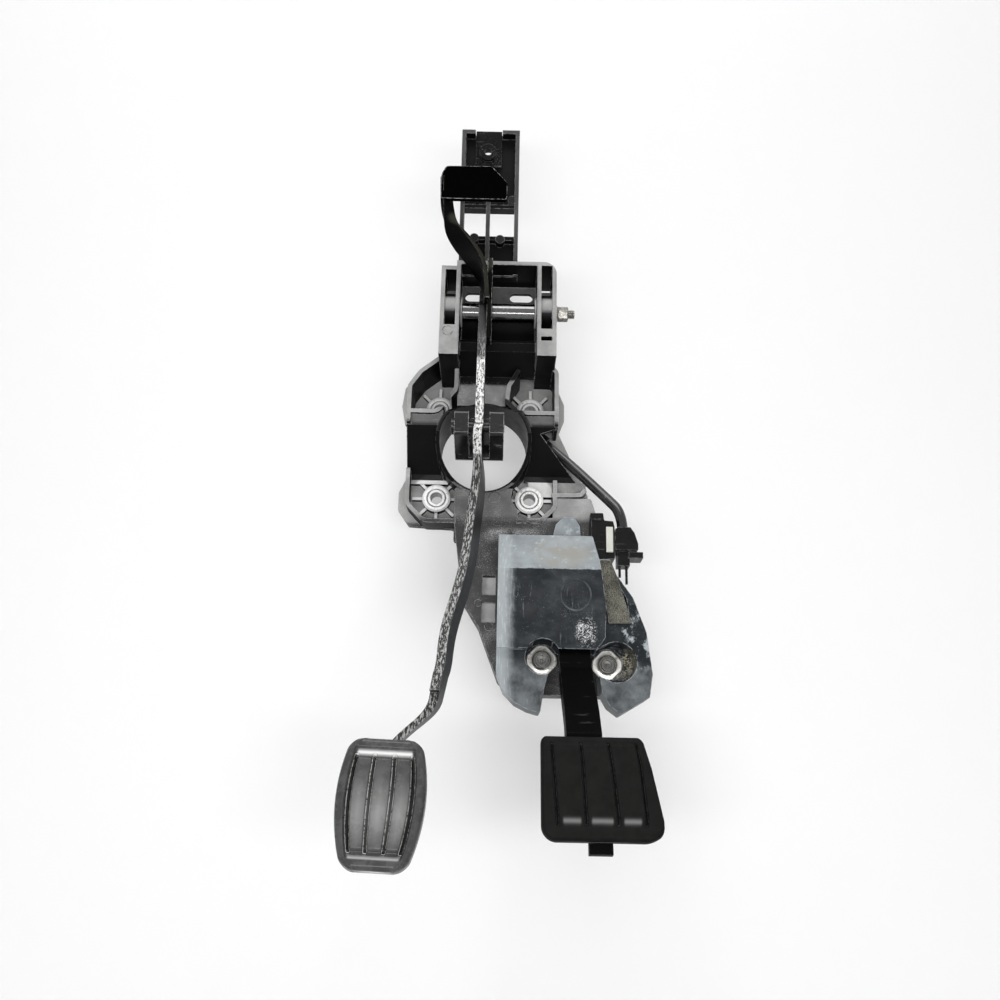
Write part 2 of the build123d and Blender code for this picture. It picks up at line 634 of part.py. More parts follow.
def accel_cover():
    """The front shell of the module."""
    raised = front(box_outline(), tray_z + base_t, ridge_z + 1, 1.2)
    raised &= side(cover_profile(), -10, 150)
    lobes = front(module_outline(), tray_z + base_t, shoulder_z, 1.5) - block(0, 150, -75, -40, 0, 100)
    shape = raised + lobes
    inner = front(box_outline(shell_t), tray_z + base_t - 1, ridge_z, 0.8)
    inner &= side(cover_profile(shell_t), -10, 150) + block(-10, 150, -205, -60, 0, tray_z + base_t)
    shape -= inner
    shape -= block(notch_left + 6, notch_right - 4, -215, notch_top_y + 8, 0, 49)
    shape -= Pos(0, 0, board_z) * extrude(offset(board_outline(), face_gap), amount=shoulder_z)
    for x, y, r in ((left_bolt_x, left_bolt_y, recess_r), (right_bolt_x + 5, right_bolt_y, recess_r + 2),
                    (right_bolt_x, right_bolt_y, recess_r)):
        shape -= post(r, x, y, 0, 100)
    return shape


def accel_mount_bolts():
    """Two flanged bolts that hold the module on the lower plate."""
    group = []
    for x, y in ((left_bolt_x, left_bolt_y), (right_bolt_x, right_bolt_y)):
        bolt = post(module_bolt_lip_r, x, y, seat_z, seat_z + 1.8)
        bolt += Pos(x, y, seat_z + 1.8) * extrude(RegularPolygon(module_bolt_af / math.sqrt(3), 6), amount=6.0)
        bolt -= post(3.2, x, y, seat_z + 5.5, seat_z + 10)
        bolt += post(module_bolt_r, x, y, 4.0, seat_z)
        group.append(bolt)
    return Compound(children=[solid for bolt in group for solid in bolt.solids()])


def accel_captive_nuts():
    """The two nuts pressed into the back of the lower plate."""
    group = []
    for x, y in ((left_bolt_x, left_bolt_y), (right_bolt_x, right_bolt_y)):
        nut = Pos(x, y, 6) * extrude(RegularPolygon(5.0 / math.cos(math.pi / 6), 6), amount=6)
        group.append(nut - post(module_bolt_r, x, y, 0, 20))
    return Compound(children=[solid for nut in group for solid in nut.solids()])


def accel_pivot_pin():
    """The steel pin of the accelerator arm."""
    half = accel_hub_len / 2 + face_gap + accel_ear_t
    return shaft(accel_pin_r, arm_mid_x - half, arm_mid_x + half, accel_y, accel_z)


def accel_arm():
    """The moulded arm: hub, short rear lever, cranked arm and foot plate."""
    x0 = arm_mid_x - arm_w / 2
    x1 = arm_mid_x + arm_w / 2
    outline = [
        (accel_z - 4, accel_y + 6), (accel_z + 8, accel_y + 6), (accel_z + 4, -140), (45.5, -157), (57, -172),
        (102, -205), (119, -222), (125, -240), (121, -245), (110, -232), (96, -215), (52, -184), (41, -166),
        (38, -150), (accel_z - 8, accel_y - 6),
    ]
    arm = side(outline, x0, x1, 3.0)
    arm += shaft(accel_hub_r, arm_mid_x - accel_hub_len / 2, arm_mid_x + accel_hub_len / 2, accel_y, accel_z)
    lever = [(accel_z, accel_y + 5), (accel_z, accel_y - 5), (27, accel_y - 2), (27, accel_y + 5)]
    arm += side(lever, x0, x1)
    hub_end = arm_mid_x + accel_hub_len / 2
    arm -= shaft(rotor_r, hub_end - rotor_t, hub_end + 1, accel_y, accel_z)
    arm -= shaft(accel_pin_r + running_gap, 0, 150, accel_y, accel_z)
    foot = Pos(0, 0, -4.0) * extrude(accel_pad_outline(3.0), amount=4.0)
    tab = block(-7, 7, -37, -25, -4.0, 2.0)
    room = accel_pad_plane() * (Pos(0, 0, 40) * Box(160, 120, 80))
    return (arm - room) + accel_pad_plane() * (foot + tab)


def accel_pad_plane():
    """The back face of the accelerator pad."""
    return Pos(accel_pad_x, accel_pad_y, accel_pad_z + 6) * Rot(-accel_pad_tilt_deg, 0, 0)


def accel_pad_outline(inset=0.0):
    """The accelerator pad's outline, wider at its foot on the right."""
    points = [(-35 + inset, 30.5 - inset), (24.5 - inset, 30.5 - inset), (31 - inset, 12), (37 - inset, -18),
              (33 - inset, -29 + inset), (0, -30.5 + inset), (-25 + inset, -29.5 + inset), (-34.5 + inset, -20)]
    return make_face(FilletPolyline(*points, radius=4.0, close=True))


def accel_pad():
    """The rubber pad of the accelerator with its upright bars."""
    body = extrude(accel_pad_outline(), amount=accel_pad_t)
    for top, foot in ((-25.5, -21.5), (-3.5, -1.0), (18.5, 26.5)):
        line = Line((top, 24), (foot, -21))
        body -= Pos(0, 0, accel_pad_t - pad_groove_d) * extrude(trace(line, line_width=pad_groove), amount=5)
    body -= block(-7.3, 7.3, -38, -24.7, -1, 2.3)
    return accel_pad_plane() * body


def accel_return_springs():
    """Two coil springs side by side above the arm's rear lever."""
    group = []
    foot = accel_y + 5 + face_gap
    top = housing_top_y - shell_t - face_gap
    for x in (arm_mid_x - 5.6, arm_mid_x + 5.6):
        coil = Pos(x, (foot + top) / 2, spring_z) * Rot(90, 0, 0) * Cylinder(spring_r, top - foot)
        core = Pos(x, (foot + top) / 2, spring_z) * Rot(90, 0, 0) * Cylinder(spring_r - spring_wire, top - foot + 2)
        group.append(coil - core)
    return Compound(children=[solid for coil in group for solid in coil.solids()])


def friction_shoe():
    """The plastic shoe on the hub that gives the pedal its drag."""
    x0 = arm_mid_x - arm_w / 2 - 0.5
    shoe = side([(accel_z + 8, accel_y + 7), (accel_z + 8, accel_y + 12), (accel_z - 4, accel_y + 14),
                 (accel_z - 4, accel_y + 10)], x0 + 4, x0 + 18)
    return shoe - shaft(accel_hub_r, 0, 150, accel_y, accel_z)


def magnet_rotor():
    """The magnet carrier that turns with the hub in front of the sensor."""
    x1 = arm_mid_x + accel_hub_len / 2
    disc = shaft(rotor_r, x1 - rotor_t, x1, accel_y, accel_z)
    return disc - shaft(accel_pin_r + running_gap, 0, 150, accel_y, accel_z)


def board_outline():
    """The outline of the circuit board, a little smaller than its pocket."""
    points = [(92.5, -130), (91.5, -100), (95.5, -103), (105, -121), (107, -136), (94, -137)]
    return make_face(Polyline(*points, close=True))


def sensor_board():
    """The circuit board in the right shoulder of the module."""
    return Pos(0, 0, board_z) * extrude(board_outline(), amount=board_t)


def sensor_cover():
    """The textured lid on the shoulder."""
    return front([(86.5, -93), (94, -93), (99, -106), (108.5, -138.5), (92, -139)],
                 shoulder_z, shoulder_z + 1.6, 1.0)


def sensor_socket():
    """The connector housing that leaves the module's top right corner."""
    body = front([(81, -57), (89.5, -57), (90.5, -61.5), (97, -62), (98, -66), (98, -90.5), (85.5, -90.5), (81, -74)],
                 tray_z + 4.2, 42, 0.8)
    body += front([(80, -56.5), (89.5, -56.5), (90, -61), (80, -61)], 38, 44, 0.8)
    return body


def sensor_plug():
    """The plug on the lead's end, with its rear flange and latch."""
    body = front([(98.3, -68), (101, -66.5), (109.5, -66.5), (112.5, -71), (115, -79), (115, -84), (98.3, -84)],
                 24.5, 43, 1.0)
    body += block(108, 118.5, -89.5, -85, 27, 42) + block(106, 112, -88, -83, 27, 40)
    body += block(100, 109, -95, -84, 28, 40)
    body += block(106.5, 108.2, -107, -94, 31, 33) + block(101.5, 103.2, -102, -94, 31, 33)
    return body - Pos(105, -62, 33.5) * Rot(90, 0, 0) * Cylinder(lead_r, 16)


def plug_lock():
    """The sliding lock bar over the plug's joint."""
    return block(91.5, 96.5, -86, -67, 42 + face_gap, 44.5)


def lead_route():
    """The run of the sensor lead, chosen by eye, from the plug to the connector behind the web."""
    return [(105.0, -70.0, 33.5), (105.0, -53.5, 33.5), (93.5, -39.0, 27.0), (63.0, -3.5, lead_end_z),
            (48.5, 8.0, lead_end_z)]


def sensor_lead():
    """The sheathed lead: straight runs joined by tangent arcs."""
    points = [Vector(*p) for p in lead_route()]
    radii = []
    for before, corner, after in zip(points, points[1:], points[2:]):
        turn = math.radians((corner - before).get_angle(after - corner))
        shorter = min((corner - before).length, (after - corner).length)
        radii.append(0.45 * shorter / math.tan(turn / 2))
    print("lead radii", [round(r, 1) for r in radii])
    path = FilletPolyline(*points, radius=radii)
    start = Plane(origin=path @ 0, z_dir=path % 0)
    tube = sweep(start * Circle(lead_r), path=path)
    print("lead volume ratio", tube.volume / (math.pi * lead_r ** 2 * path.length), "length", path.length)
    return tube


def lead_end_connector():
    """The connector clipped behind the right web, square to the lead."""
    points = [Vector(*p) for p in lead_route()]
    heading = (points[-1] - points[-2]).normalized()
    seat = Plane(origin=points[-1], x_dir=(0, 0, 1), z_dir=heading)
    return seat * (Pos(0, 0, lead_end_len / 2) * Box(lead_end_w, lead_end_w, lead_end_len))


def top_clip_nut():
    """The spring nut slid over the top edge of the extension."""
    y0 = tower_height - fixing_drop
    leaf = block(-12, 9, y0 - 12, tower_height + 1.4, wall + 2.7, wall + 3.9) + block(
        -12, 9, y0 - 8, tower_height + 1.4, -1.5, -0.2)
    leaf += block(-12, 9, tower_height + 0.2, tower_height + 1.4, -1.5, wall + 3.9)
    leaf += Pos(-2, y0, wall + 5.4) * Cylinder(7.0, 3.0)
    leaf -= Pos(-2, y0, 0) * Cylinder(3.0, 60)
    leaf -= Pos(-2, y0, -2) * Cylinder(fixing_hole_r - 0.5, 4)
    return tower_frame() * leaf


makers = [
    pedal_bracket, mounting_sleeves, pivot_bolt, pivot_nut, pivot_spacer, top_clip_nut,
    accel_base, accel_cover, accel_mount_bolts, accel_captive_nuts, accel_pivot_pin, accel_return_springs,
    sensor_board, sensor_cover, sensor_socket, sensor_plug, plug_lock, sensor_lead, lead_end_connector,
    brake_arm, brake_upper_lever, brake_hub_tube, brake_bushes, pushrod_pin, brake_pad_plate, brake_pad,
    pushrod_clip, accel_arm, accel_pad, magnet_rotor, friction_shoe,
]

os.makedirs("parts", exist_ok=True)
for maker in makers:
    export_step(store(maker()), f"parts/{maker.__name__}.step")
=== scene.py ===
"""Looks of the car pedal assembly: its finishes, rubber pads, fasteners, springs and the sensor's lead.

Lengths in the sub-assemblies are millimetres in the driver's view: x to the right, y up, h out of the
bulkhead towards the driver. The function driver turns them into metres in the frame that the CAD uses.
"""

import logging
import math
from dataclasses import dataclass
from enum import Enum

import bpy
import numpy as np
from mathutils import Euler, Matrix, Vector


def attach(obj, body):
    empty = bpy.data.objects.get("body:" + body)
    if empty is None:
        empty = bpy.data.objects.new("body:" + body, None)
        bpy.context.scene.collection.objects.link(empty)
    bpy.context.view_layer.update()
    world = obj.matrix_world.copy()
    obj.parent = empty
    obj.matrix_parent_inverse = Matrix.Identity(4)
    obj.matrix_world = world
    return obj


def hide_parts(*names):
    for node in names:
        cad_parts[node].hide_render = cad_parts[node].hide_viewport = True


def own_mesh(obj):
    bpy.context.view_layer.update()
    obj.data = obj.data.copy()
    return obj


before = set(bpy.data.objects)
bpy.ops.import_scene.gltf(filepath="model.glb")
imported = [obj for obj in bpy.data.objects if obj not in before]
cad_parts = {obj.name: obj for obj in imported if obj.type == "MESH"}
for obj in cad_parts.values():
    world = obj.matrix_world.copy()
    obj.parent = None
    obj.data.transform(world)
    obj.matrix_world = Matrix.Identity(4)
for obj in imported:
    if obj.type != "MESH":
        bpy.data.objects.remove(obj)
log = logging.getLogger("pedals")

Colour = tuple[float, float, float]
Point = tuple[float, float, float]
Span = tuple[float, float]
Socket = bpy.types.NodeSocket
Sockets = bpy.types.bpy_prop_collection
Value = Socket | float | Point


class Body(Enum):
    """The CAD bodies that the scene's own pieces ride on."""

    BRACKET = "bracket"
    BRAKE = "brake_pedal"
    ACCELERATOR = "accelerator_pedal"


class Effect(Enum):
    """The shader groups that several finishes share."""

    EDGE_WEAR = "edge_wear"
    SPECKS = "specks"
    SCUFFS = "scuffs"
    DUST_AND_LIT_FACES = "dust_and_lit_faces"
    MOULD_GRAIN = "mould_grain"
    PATCHES = "patches"


def grey(level: float) -> Colour:
    """A colour with three equal parts."""
    return (level, level, level)


def driver(points: np.ndarray) -> np.ndarray:
    """Turns points of the driver's view into the frame: x stays, y goes up, h runs against +Y.

    Args:
        points: an array whose last axis is x, y, h in millimetres.

    Returns:
        The same array in metres, as X = x, Y = -h, Z = y.
    """
    points = np.asarray(points, float)
    return np.stack([points[..., 0], -points[..., 2], points[..., 1]], -1) / 1000.0


# Surfaces


def placed(name: str, data: bpy.types.ID) -> bpy.types.Object:
    """Puts an object for a mesh, curve, lamp or camera into the scene.

    Args:
        name: the object's name.
        data: what it shows.

    Returns:
        The new object, at the origin.
    """
    thing = bpy.data.objects.new(name, data)
    bpy.context.scene.collection.objects.link(thing)
    return thing


def tube_piece(name: str, rings: np.ndarray, sharp_deg: float = 35.0, loop: bool = False) -> bpy.types.Object:
    """Makes a closed mesh from rings of points, with a pole at the middle of each end ring.

    The surface is a function of two parameters: the first picks the ring, the second the point round it.
    A looped piece has no poles: its last ring joins its first, as a washer's do.

    Args:
        name: the piece's name.
        rings: an array (rings, points, 3) in metres in the frame.
        sharp_deg: edges that turn more than this stay sharp.
        loop: whether the last ring joins the first.

    Returns:
        The new object, at the origin.
    """
    count, around = rings.shape[:2]
    flat = rings.reshape(-1, 3)
    poles = np.stack([rings[0].mean(0), rings[-1].mean(0)])
    verts = flat if loop else np.concatenate([flat, poles])
    row, col = np.meshgrid(np.arange(count if loop else count - 1), np.arange(around), indexing="ij")
    nxt = (col + 1) % around
    below = (row + 1) % count
    quads = np.stack([row * around + col, row * around + nxt, below * around + nxt, below * around + col], -1)
    quads = quads.reshape(-1, 4)
    side_tris = np.concatenate([quads[:, [0, 1, 2]], quads[:, [0, 2, 3]]])
    ring = np.arange(around)
    step = (ring + 1) % around
    first = np.stack([np.full(around, count * around), step, ring], -1)
    base = (count - 1) * around
    last = np.stack([np.full(around, count * around + 1), base + ring, base + step], -1)
    ends = np.zeros((0, 3), int) if loop else np.concatenate([first, last])
    tris = np.concatenate([side_tris, ends])
    a, b, c = verts[tris[:, 0]], verts[tris[:, 1]], verts[tris[:, 2]]
    inside_out = float(np.einsum("ij,ij->i", a, np.cross(b, c)).sum()) < 0
    faces = [q[::-1] for q in quads.tolist()] if inside_out else quads.tolist()
    faces += (ends[:, ::-1] if inside_out else ends).tolist()
    mesh = bpy.data.meshes.new(name)
    mesh.from_pydata(verts.tolist(), [], faces)
    mesh.update()
    mesh.shade_smooth()
    mesh.set_sharp_from_angle(angle=math.radians(sharp_deg))
    return placed(name, mesh)


def turned(profile: list[Span], foot: Point, axis: Point, steps: int = 64, flats: int = 0,
           flat_rows: tuple[int, ...] = ()) -> np.ndarray:
    """Rings of a turned part: each profile point (radius, height) goes once round the axis.

    Where a row is one of flat_rows, the radius becomes r times cos(pi/n) / cos(angle from the middle of the flat),
    which is a regular n-sided outline whose corners touch the circle.

    Args:
        profile: radius and height pairs in millimetres, from one end to the other.
        foot: the axis's start, in the driver's view.
        axis: the axis's direction, in the driver's view.
        steps: points in each ring.
        flats: how many sides a hexagon or other polygon row has.
        flat_rows: the rows of the profile that are polygons.

    Returns:
        An array (rows, steps, 3) in metres.
    """
    line = np.array(axis, float) / np.linalg.norm(axis)
    helper = np.array([0.0, 1.0, 0.0]) if abs(line[1]) < 0.9 else np.array([1.0, 0.0, 0.0])
    across = np.cross(line, helper)
    across /= np.linalg.norm(across)
    up = np.cross(line, across)
    angle = np.linspace(0.0, 2.0 * math.pi, steps, endpoint=False)
    radius = np.repeat(np.array([p[0] for p in profile], float)[:, None], steps, 1)
    if flats:
        part = math.pi / flats
        off = np.mod(angle, 2.0 * part) - part
        shape = math.cos(part) / np.cos(off)
        for row in flat_rows:
            radius[row] *= shape
    height = np.array([p[1] for p in profile], float)[:, None, None]
    spoke = np.cos(angle)[:, None] * across + np.sin(angle)[:, None] * up
    return driver(np.array(foot) + height * line + radius[..., None] * spoke[None])


def swept(path: np.ndarray, radius: float, around: int = 10) -> np.ndarray:
    """Rings of a round wire along a path: each ring stands square to the path's own direction.

    A ring's first axis points from the path's middle to the ring, less the part of it that runs along the path,
    and its second axis is the cross product of the path's direction and the first.

    Args:
        path: an array (points, 3) in metres.
        radius: the wire's radius in metres.
        around: points in each ring.

    Returns:
        An array (points, around, 3) in metres.
    """
    along = np.gradient(path, axis=0)
    along /= np.linalg.norm(along, axis=1, keepdims=True)
    middle = path.mean(0)
    out = path - middle
    out -= (out * along).sum(1, keepdims=True) * along
    out /= np.linalg.norm(out, axis=1, keepdims=True)
    side = np.cross(along, out)
    angle = np.linspace(0.0, 2.0 * math.pi, around, endpoint=False)
    ring = np.cos(angle)[None, :, None] * out[:, None] + np.sin(angle)[None, :, None] * side[:, None]
    return path[:, None] + radius * ring


def smooth_line(points: tuple[Point, ...], count: int) -> np.ndarray:
    """A smooth line through points: each span is a cubic whose end slopes are half the step between its neighbours.

    Args:
        points: what the line goes through.
        count: how many points the line has.

    Returns:
        An array (count, 3).
    """
    given = np.asarray(points, float)
    padded = np.concatenate([2.0 * given[:1] - given[1:2], given, 2.0 * given[-1:] - given[-2:-1]])
    at = np.linspace(0.0, len(given) - 1.0 - 1e-9, count)
    span = at.astype(int)
    t = (at - span)[:, None]
    a, b, c, d = (padded[span + shift] for shift in range(4))
    square, cube = 2.0 * a - 5.0 * b + 4.0 * c - d, 3.0 * b - 3.0 * c + d - a
    return 0.5 * (2.0 * b + (c - a) * t + square * t ** 2 + cube * t ** 3)


def softened(outline: tuple[Span, ...], reach: float, steps: int = 7) -> np.ndarray:
    """An outline whose corners are cut by parabolas.

    Args:
        outline: the corners.
        reach: how far from its corner a parabola starts and ends.
        steps: points in each parabola.

    Returns:
        An array (corners times steps, 2).
    """
    corner = np.asarray(outline, float)
    back, ahead = np.roll(corner, 1, 0) - corner, np.roll(corner, -1, 0) - corner
    back /= np.linalg.norm(back, axis=1, keepdims=True)
    ahead /= np.linalg.norm(ahead, axis=1, keepdims=True)
    t = np.linspace(0.0, 1.0, steps)[None, :, None]
    first, last = (corner + reach * back)[:, None], (corner + reach * ahead)[:, None]
    return ((1.0 - t) ** 2 * first + 2.0 * t * (1.0 - t) * corner[:, None] + t ** 2 * last).reshape(-1, 2)


def slab(outline: np.ndarray, low: float, high: float, bevel: float) -> np.ndarray:
    """Rings of a flat plate: its outline at four depths, drawn in by the bevel at the first and the last.

    Args:
        outline: the plate's outline.
        low: the depth of its back.
        high: the depth of its front.
        bevel: the width of the bevel on both.

    Returns:
        An array (4, points, 3).
    """
    middle = outline.mean(0)
    inward = (middle - outline) / np.linalg.norm(middle - outline, axis=1, keepdims=True)
    inset = outline + bevel * inward
    rows = [(inset, low), (outline, low + bevel), (outline, high - bevel), (inset, high)]
    return np.stack([np.concatenate([ring, np.full((len(ring), 1), depth)], 1) for ring, depth in rows])


def smooth_step(value: np.ndarray, low: float, high: float) -> np.ndarray:
    """A ramp from 0 at low to 1 at high with flat ends, 3t squared minus 2t cubed."""
    t = np.clip((value - low) / (high - low), 0.0, 1.0)
    return t * t * (3.0 - 2.0 * t)


def tilted(local: np.ndarray, place: Point, tilt_deg: float, roll_deg: float = 0.0) -> np.ndarray:
    """Turns points of a pad's own plane into the driver's view: rolled in its plane, tilted, then moved.

    Args:
        local: an array whose last axis is across, up and out of the pad.
        place: where the pad's middle stands.
        tilt_deg: the turn about the line across.
        roll_deg: the turn in the pad's own plane.

    Returns:
        The same array in the driver's view.
    """
    roll, tilt = math.radians(roll_deg), math.radians(tilt_deg)
    turn_z = np.array([[math.cos(roll), -math.sin(roll), 0], [math.sin(roll), math.cos(roll), 0], [0, 0, 1]])
    turn_x = np.array([[1, 0, 0], [0, math.cos(tilt), -math.sin(tilt)], [0, math.sin(tilt), math.cos(tilt)]])
    return local @ (turn_x @ turn_z).T + np.array(place)


# Shader graphs


class Graph:
    """Places and joins shader nodes in one node tree."""

    def __init__(self, tree: bpy.types.NodeTree) -> None:
        """Starts on an empty tree.

        Args:
            tree: the node tree to fill.
        """
        self.tree = tree

    def feed(self, socket: Socket, value: Value) -> None:
        """Links a socket to another one, or sets its own value.

        Args:
            socket: the input to feed.
            value: a socket to link, or a number, vector or colour.
        """
        if isinstance(value, Socket):
            self.tree.links.new(value, socket)
        elif socket.type == "RGBA" and len(value) == 3:
            socket.default_value = (*value, 1.0)
        else:
            socket.default_value = value

    def add(self, kind: str, inputs: dict[str | int, Value] | None = None, **settings: object) -> bpy.types.Node:
        """Adds a node.

        Args:
            kind: the node's type name.
            inputs: what each named or numbered input gets.
            settings: properties of the node itself.

        Returns:
            The new node.
        """
        node = self.tree.nodes.new(kind)
        for key, value in settings.items():
            setattr(node, key, value)
        self.fill(node, inputs or {})
        return node

    def fill(self, node: bpy.types.Node, inputs: dict[str | int, Value]) -> None:
        """Feeds several inputs of one node."""
        for key, value in inputs.items():
            self.feed(node.inputs[key], value)

    def math(self, operation: str, a: Value, b: Value = 0.0, c: Value = 0.0) -> Socket:
        """A Math node's result."""
        return self.add("ShaderNodeMath", {0: a, 1: b, 2: c}, operation=operation).outputs[0]

    def times(self, first: Value, *others: Value) -> Value:
        """The product of all the values.

        Args:
            first: the first factor.
            others: the factors after it, in order.

        Returns:
            The product's socket.
        """
        for other in others:
            first = self.math("MULTIPLY", first, other)
        return first

    def line(self, a: Value, b: Value, c: Value) -> Socket:
        """a times b, plus c."""
        return self.math("MULTIPLY_ADD", a, b, c)

    def less(self, a: Value, b: Value) -> Socket:
        """a minus b."""
        return self.math("SUBTRACT", a, b)

    def rest(self, value: Value) -> Socket:
        """What the value leaves of 1."""
        return self.less(1.0, value)

    def reach(self, a: Value, b: Value) -> Socket:
        """The length of the line whose legs are a and b: the root of a squared plus b squared."""
        return self.math("SQRT", self.math("ADD", self.times(a, a), self.times(b, b)))

    def ramp(self, value: Value, low: Value, high: Value, start: float = 0.0, end: float = 1.0) -> Socket:
        """A smooth ramp of value, from start at low to end at high."""
        inputs = {"Value": value, "From Min": low, "From Max": high, "To Min": start, "To Max": end}
        return self.add("ShaderNodeMapRange", inputs, interpolation_type="SMOOTHSTEP").outputs[0]

    def mix(self, factor: Value, a: Value, b: Value) -> Socket:
        """A blend from colour a to colour b."""
        return self.add("ShaderNodeMix", {0: factor, 6: a, 7: b}, data_type="RGBA").outputs[2]

    def over(self, under: Value, colour: Value, *factors: Value) -> Socket:
        """Lays a colour over another one, as far as the product of the factors says."""
        return self.mix(self.times(*factors), under, colour)

    def noise(self, scale: Value, detail: float, rough: float = 0.55, at: Value | None = None) -> Socket:
        """A noise's value, from 0 to 1.

        Args:
            scale: how fine it is, in cells for each unit of length.
            detail: how many finer layers it has.
            rough: how strong these are.
            at: the vector it is read at, where it isn't the place in the frame.

        Returns:
            The value.
        """
        where = self.place() if at is None else at
        inputs = {"Vector": where, "Scale": scale, "Detail": detail, "Roughness": rough}
        return self.add("ShaderNodeTexNoise", inputs).outputs[0]

    def place(self) -> Socket:
        """Object coordinates, which are metres in the frame."""
        return self.add("ShaderNodeTexCoord").outputs["Object"]

    def own_normal(self) -> Socket:
        """The surface's direction in the object's own axes."""
        return self.add("ShaderNodeTexCoord").outputs["Normal"]

    def dot(self, a: Value, b: Value) -> Socket:
        """The dot product of two vectors."""
        return self.add("ShaderNodeVectorMath", {0: a, 1: b}, operation="DOT_PRODUCT").outputs["Value"]

    def axes(self) -> Sockets:
        """Object coordinates as three separate values, X, Y and Z."""
        return self.add("ShaderNodeSeparateXYZ", {0: self.place()}).outputs

    def off_line(self, x: float, z: float, wide: float = 1.0, high: float = 1.0) -> Socket:
        """How far a place is from a line along Y.

        Args:
            x: where the line stands across, in metres.
            z: how high it stands, in metres.
            wide: the unit of length across.
            high: the unit of length upwards.

        Returns:
            The distance in those units.
        """
        near = self.add("ShaderNodeMapping", {"Vector": self.place(), "Location": (-x / wide, 0.0, -z / high),
                                              "Scale": (1.0 / wide, 0.0, 1.0 / high)}).outputs[0]
        return self.add("ShaderNodeVectorMath", {0: near}, operation="LENGTH").outputs["Value"]

    def seen(self) -> Socket:
        """Tells the rays that show a surface to the viewer.

        Returns:
            1 for camera, glossy and transmission rays, 0 for all others.
        """
        path = self.add("ShaderNodeLightPath").outputs
        glassy = self.math("MAXIMUM", path["Is Glossy Ray"], path["Is Transmission Ray"])
        return self.math("MAXIMUM", path["Is Camera Ray"], glassy)

    def bump(self, height: Value, strength: float, distance: float, normal: Value | None = None) -> Socket:
        """The surface's direction once a height has been laid on it.

        Args:
            height: the height's socket.
            strength: how much of it counts.
            distance: what a height of 1 stands for, in metres.
            normal: the direction to start from, where it isn't the surface's own.

        Returns:
            The new direction.
        """
        inputs = {"Strength": strength, "Distance": distance, "Height": height}
        if normal is not None:
            inputs["Normal"] = normal
        return self.add("ShaderNodeBump", inputs).outputs[0]

    def stretched(self, vector: Value, scale: Point, turn_deg: Point = (0, 0, 0)) -> Socket:
        """Coordinates pulled apart along each axis, for brushed or dragged marks."""
        turn = tuple(math.radians(v) for v in turn_deg)
        return self.add("ShaderNodeMapping", {"Vector": vector, "Scale": scale, "Rotation": turn}).outputs[0]

    def group(self, effect: Effect, inputs: dict[str, Value]) -> Sockets:
        """Places a shared effect and gives its outputs."""
        return self.add("ShaderNodeGroup", inputs, node_tree=bpy.data.node_groups[effect.value]).outputs

    def effect(self, effect: Effect, **inputs: Value) -> Socket:
        """The one output of a shared effect with its own values.

        Args:
            effect: which effect.
            inputs: the group's inputs, with underscores for blanks.

        Returns:
            The output.
        """
        return self.group(effect, {key.replace("_", " "): value for key, value in inputs.items()})[0]

    def worn(self, radius: float, amount: float, break_up: float) -> tuple[Socket, Socket]:
        """Worn edges.

        Args:
            radius: how far the wear reaches, in metres.
            amount: how much of the edge is worn.
            break_up: how finely the wear is broken up.

        Returns:
            The wear's mask, and the direction of the surface with its edges rounded.
        """
        outputs = self.group(Effect.EDGE_WEAR, {"Radius": radius, "Amount": amount, "Break Up": break_up})
        return outputs["Mask"], outputs["Normal"]


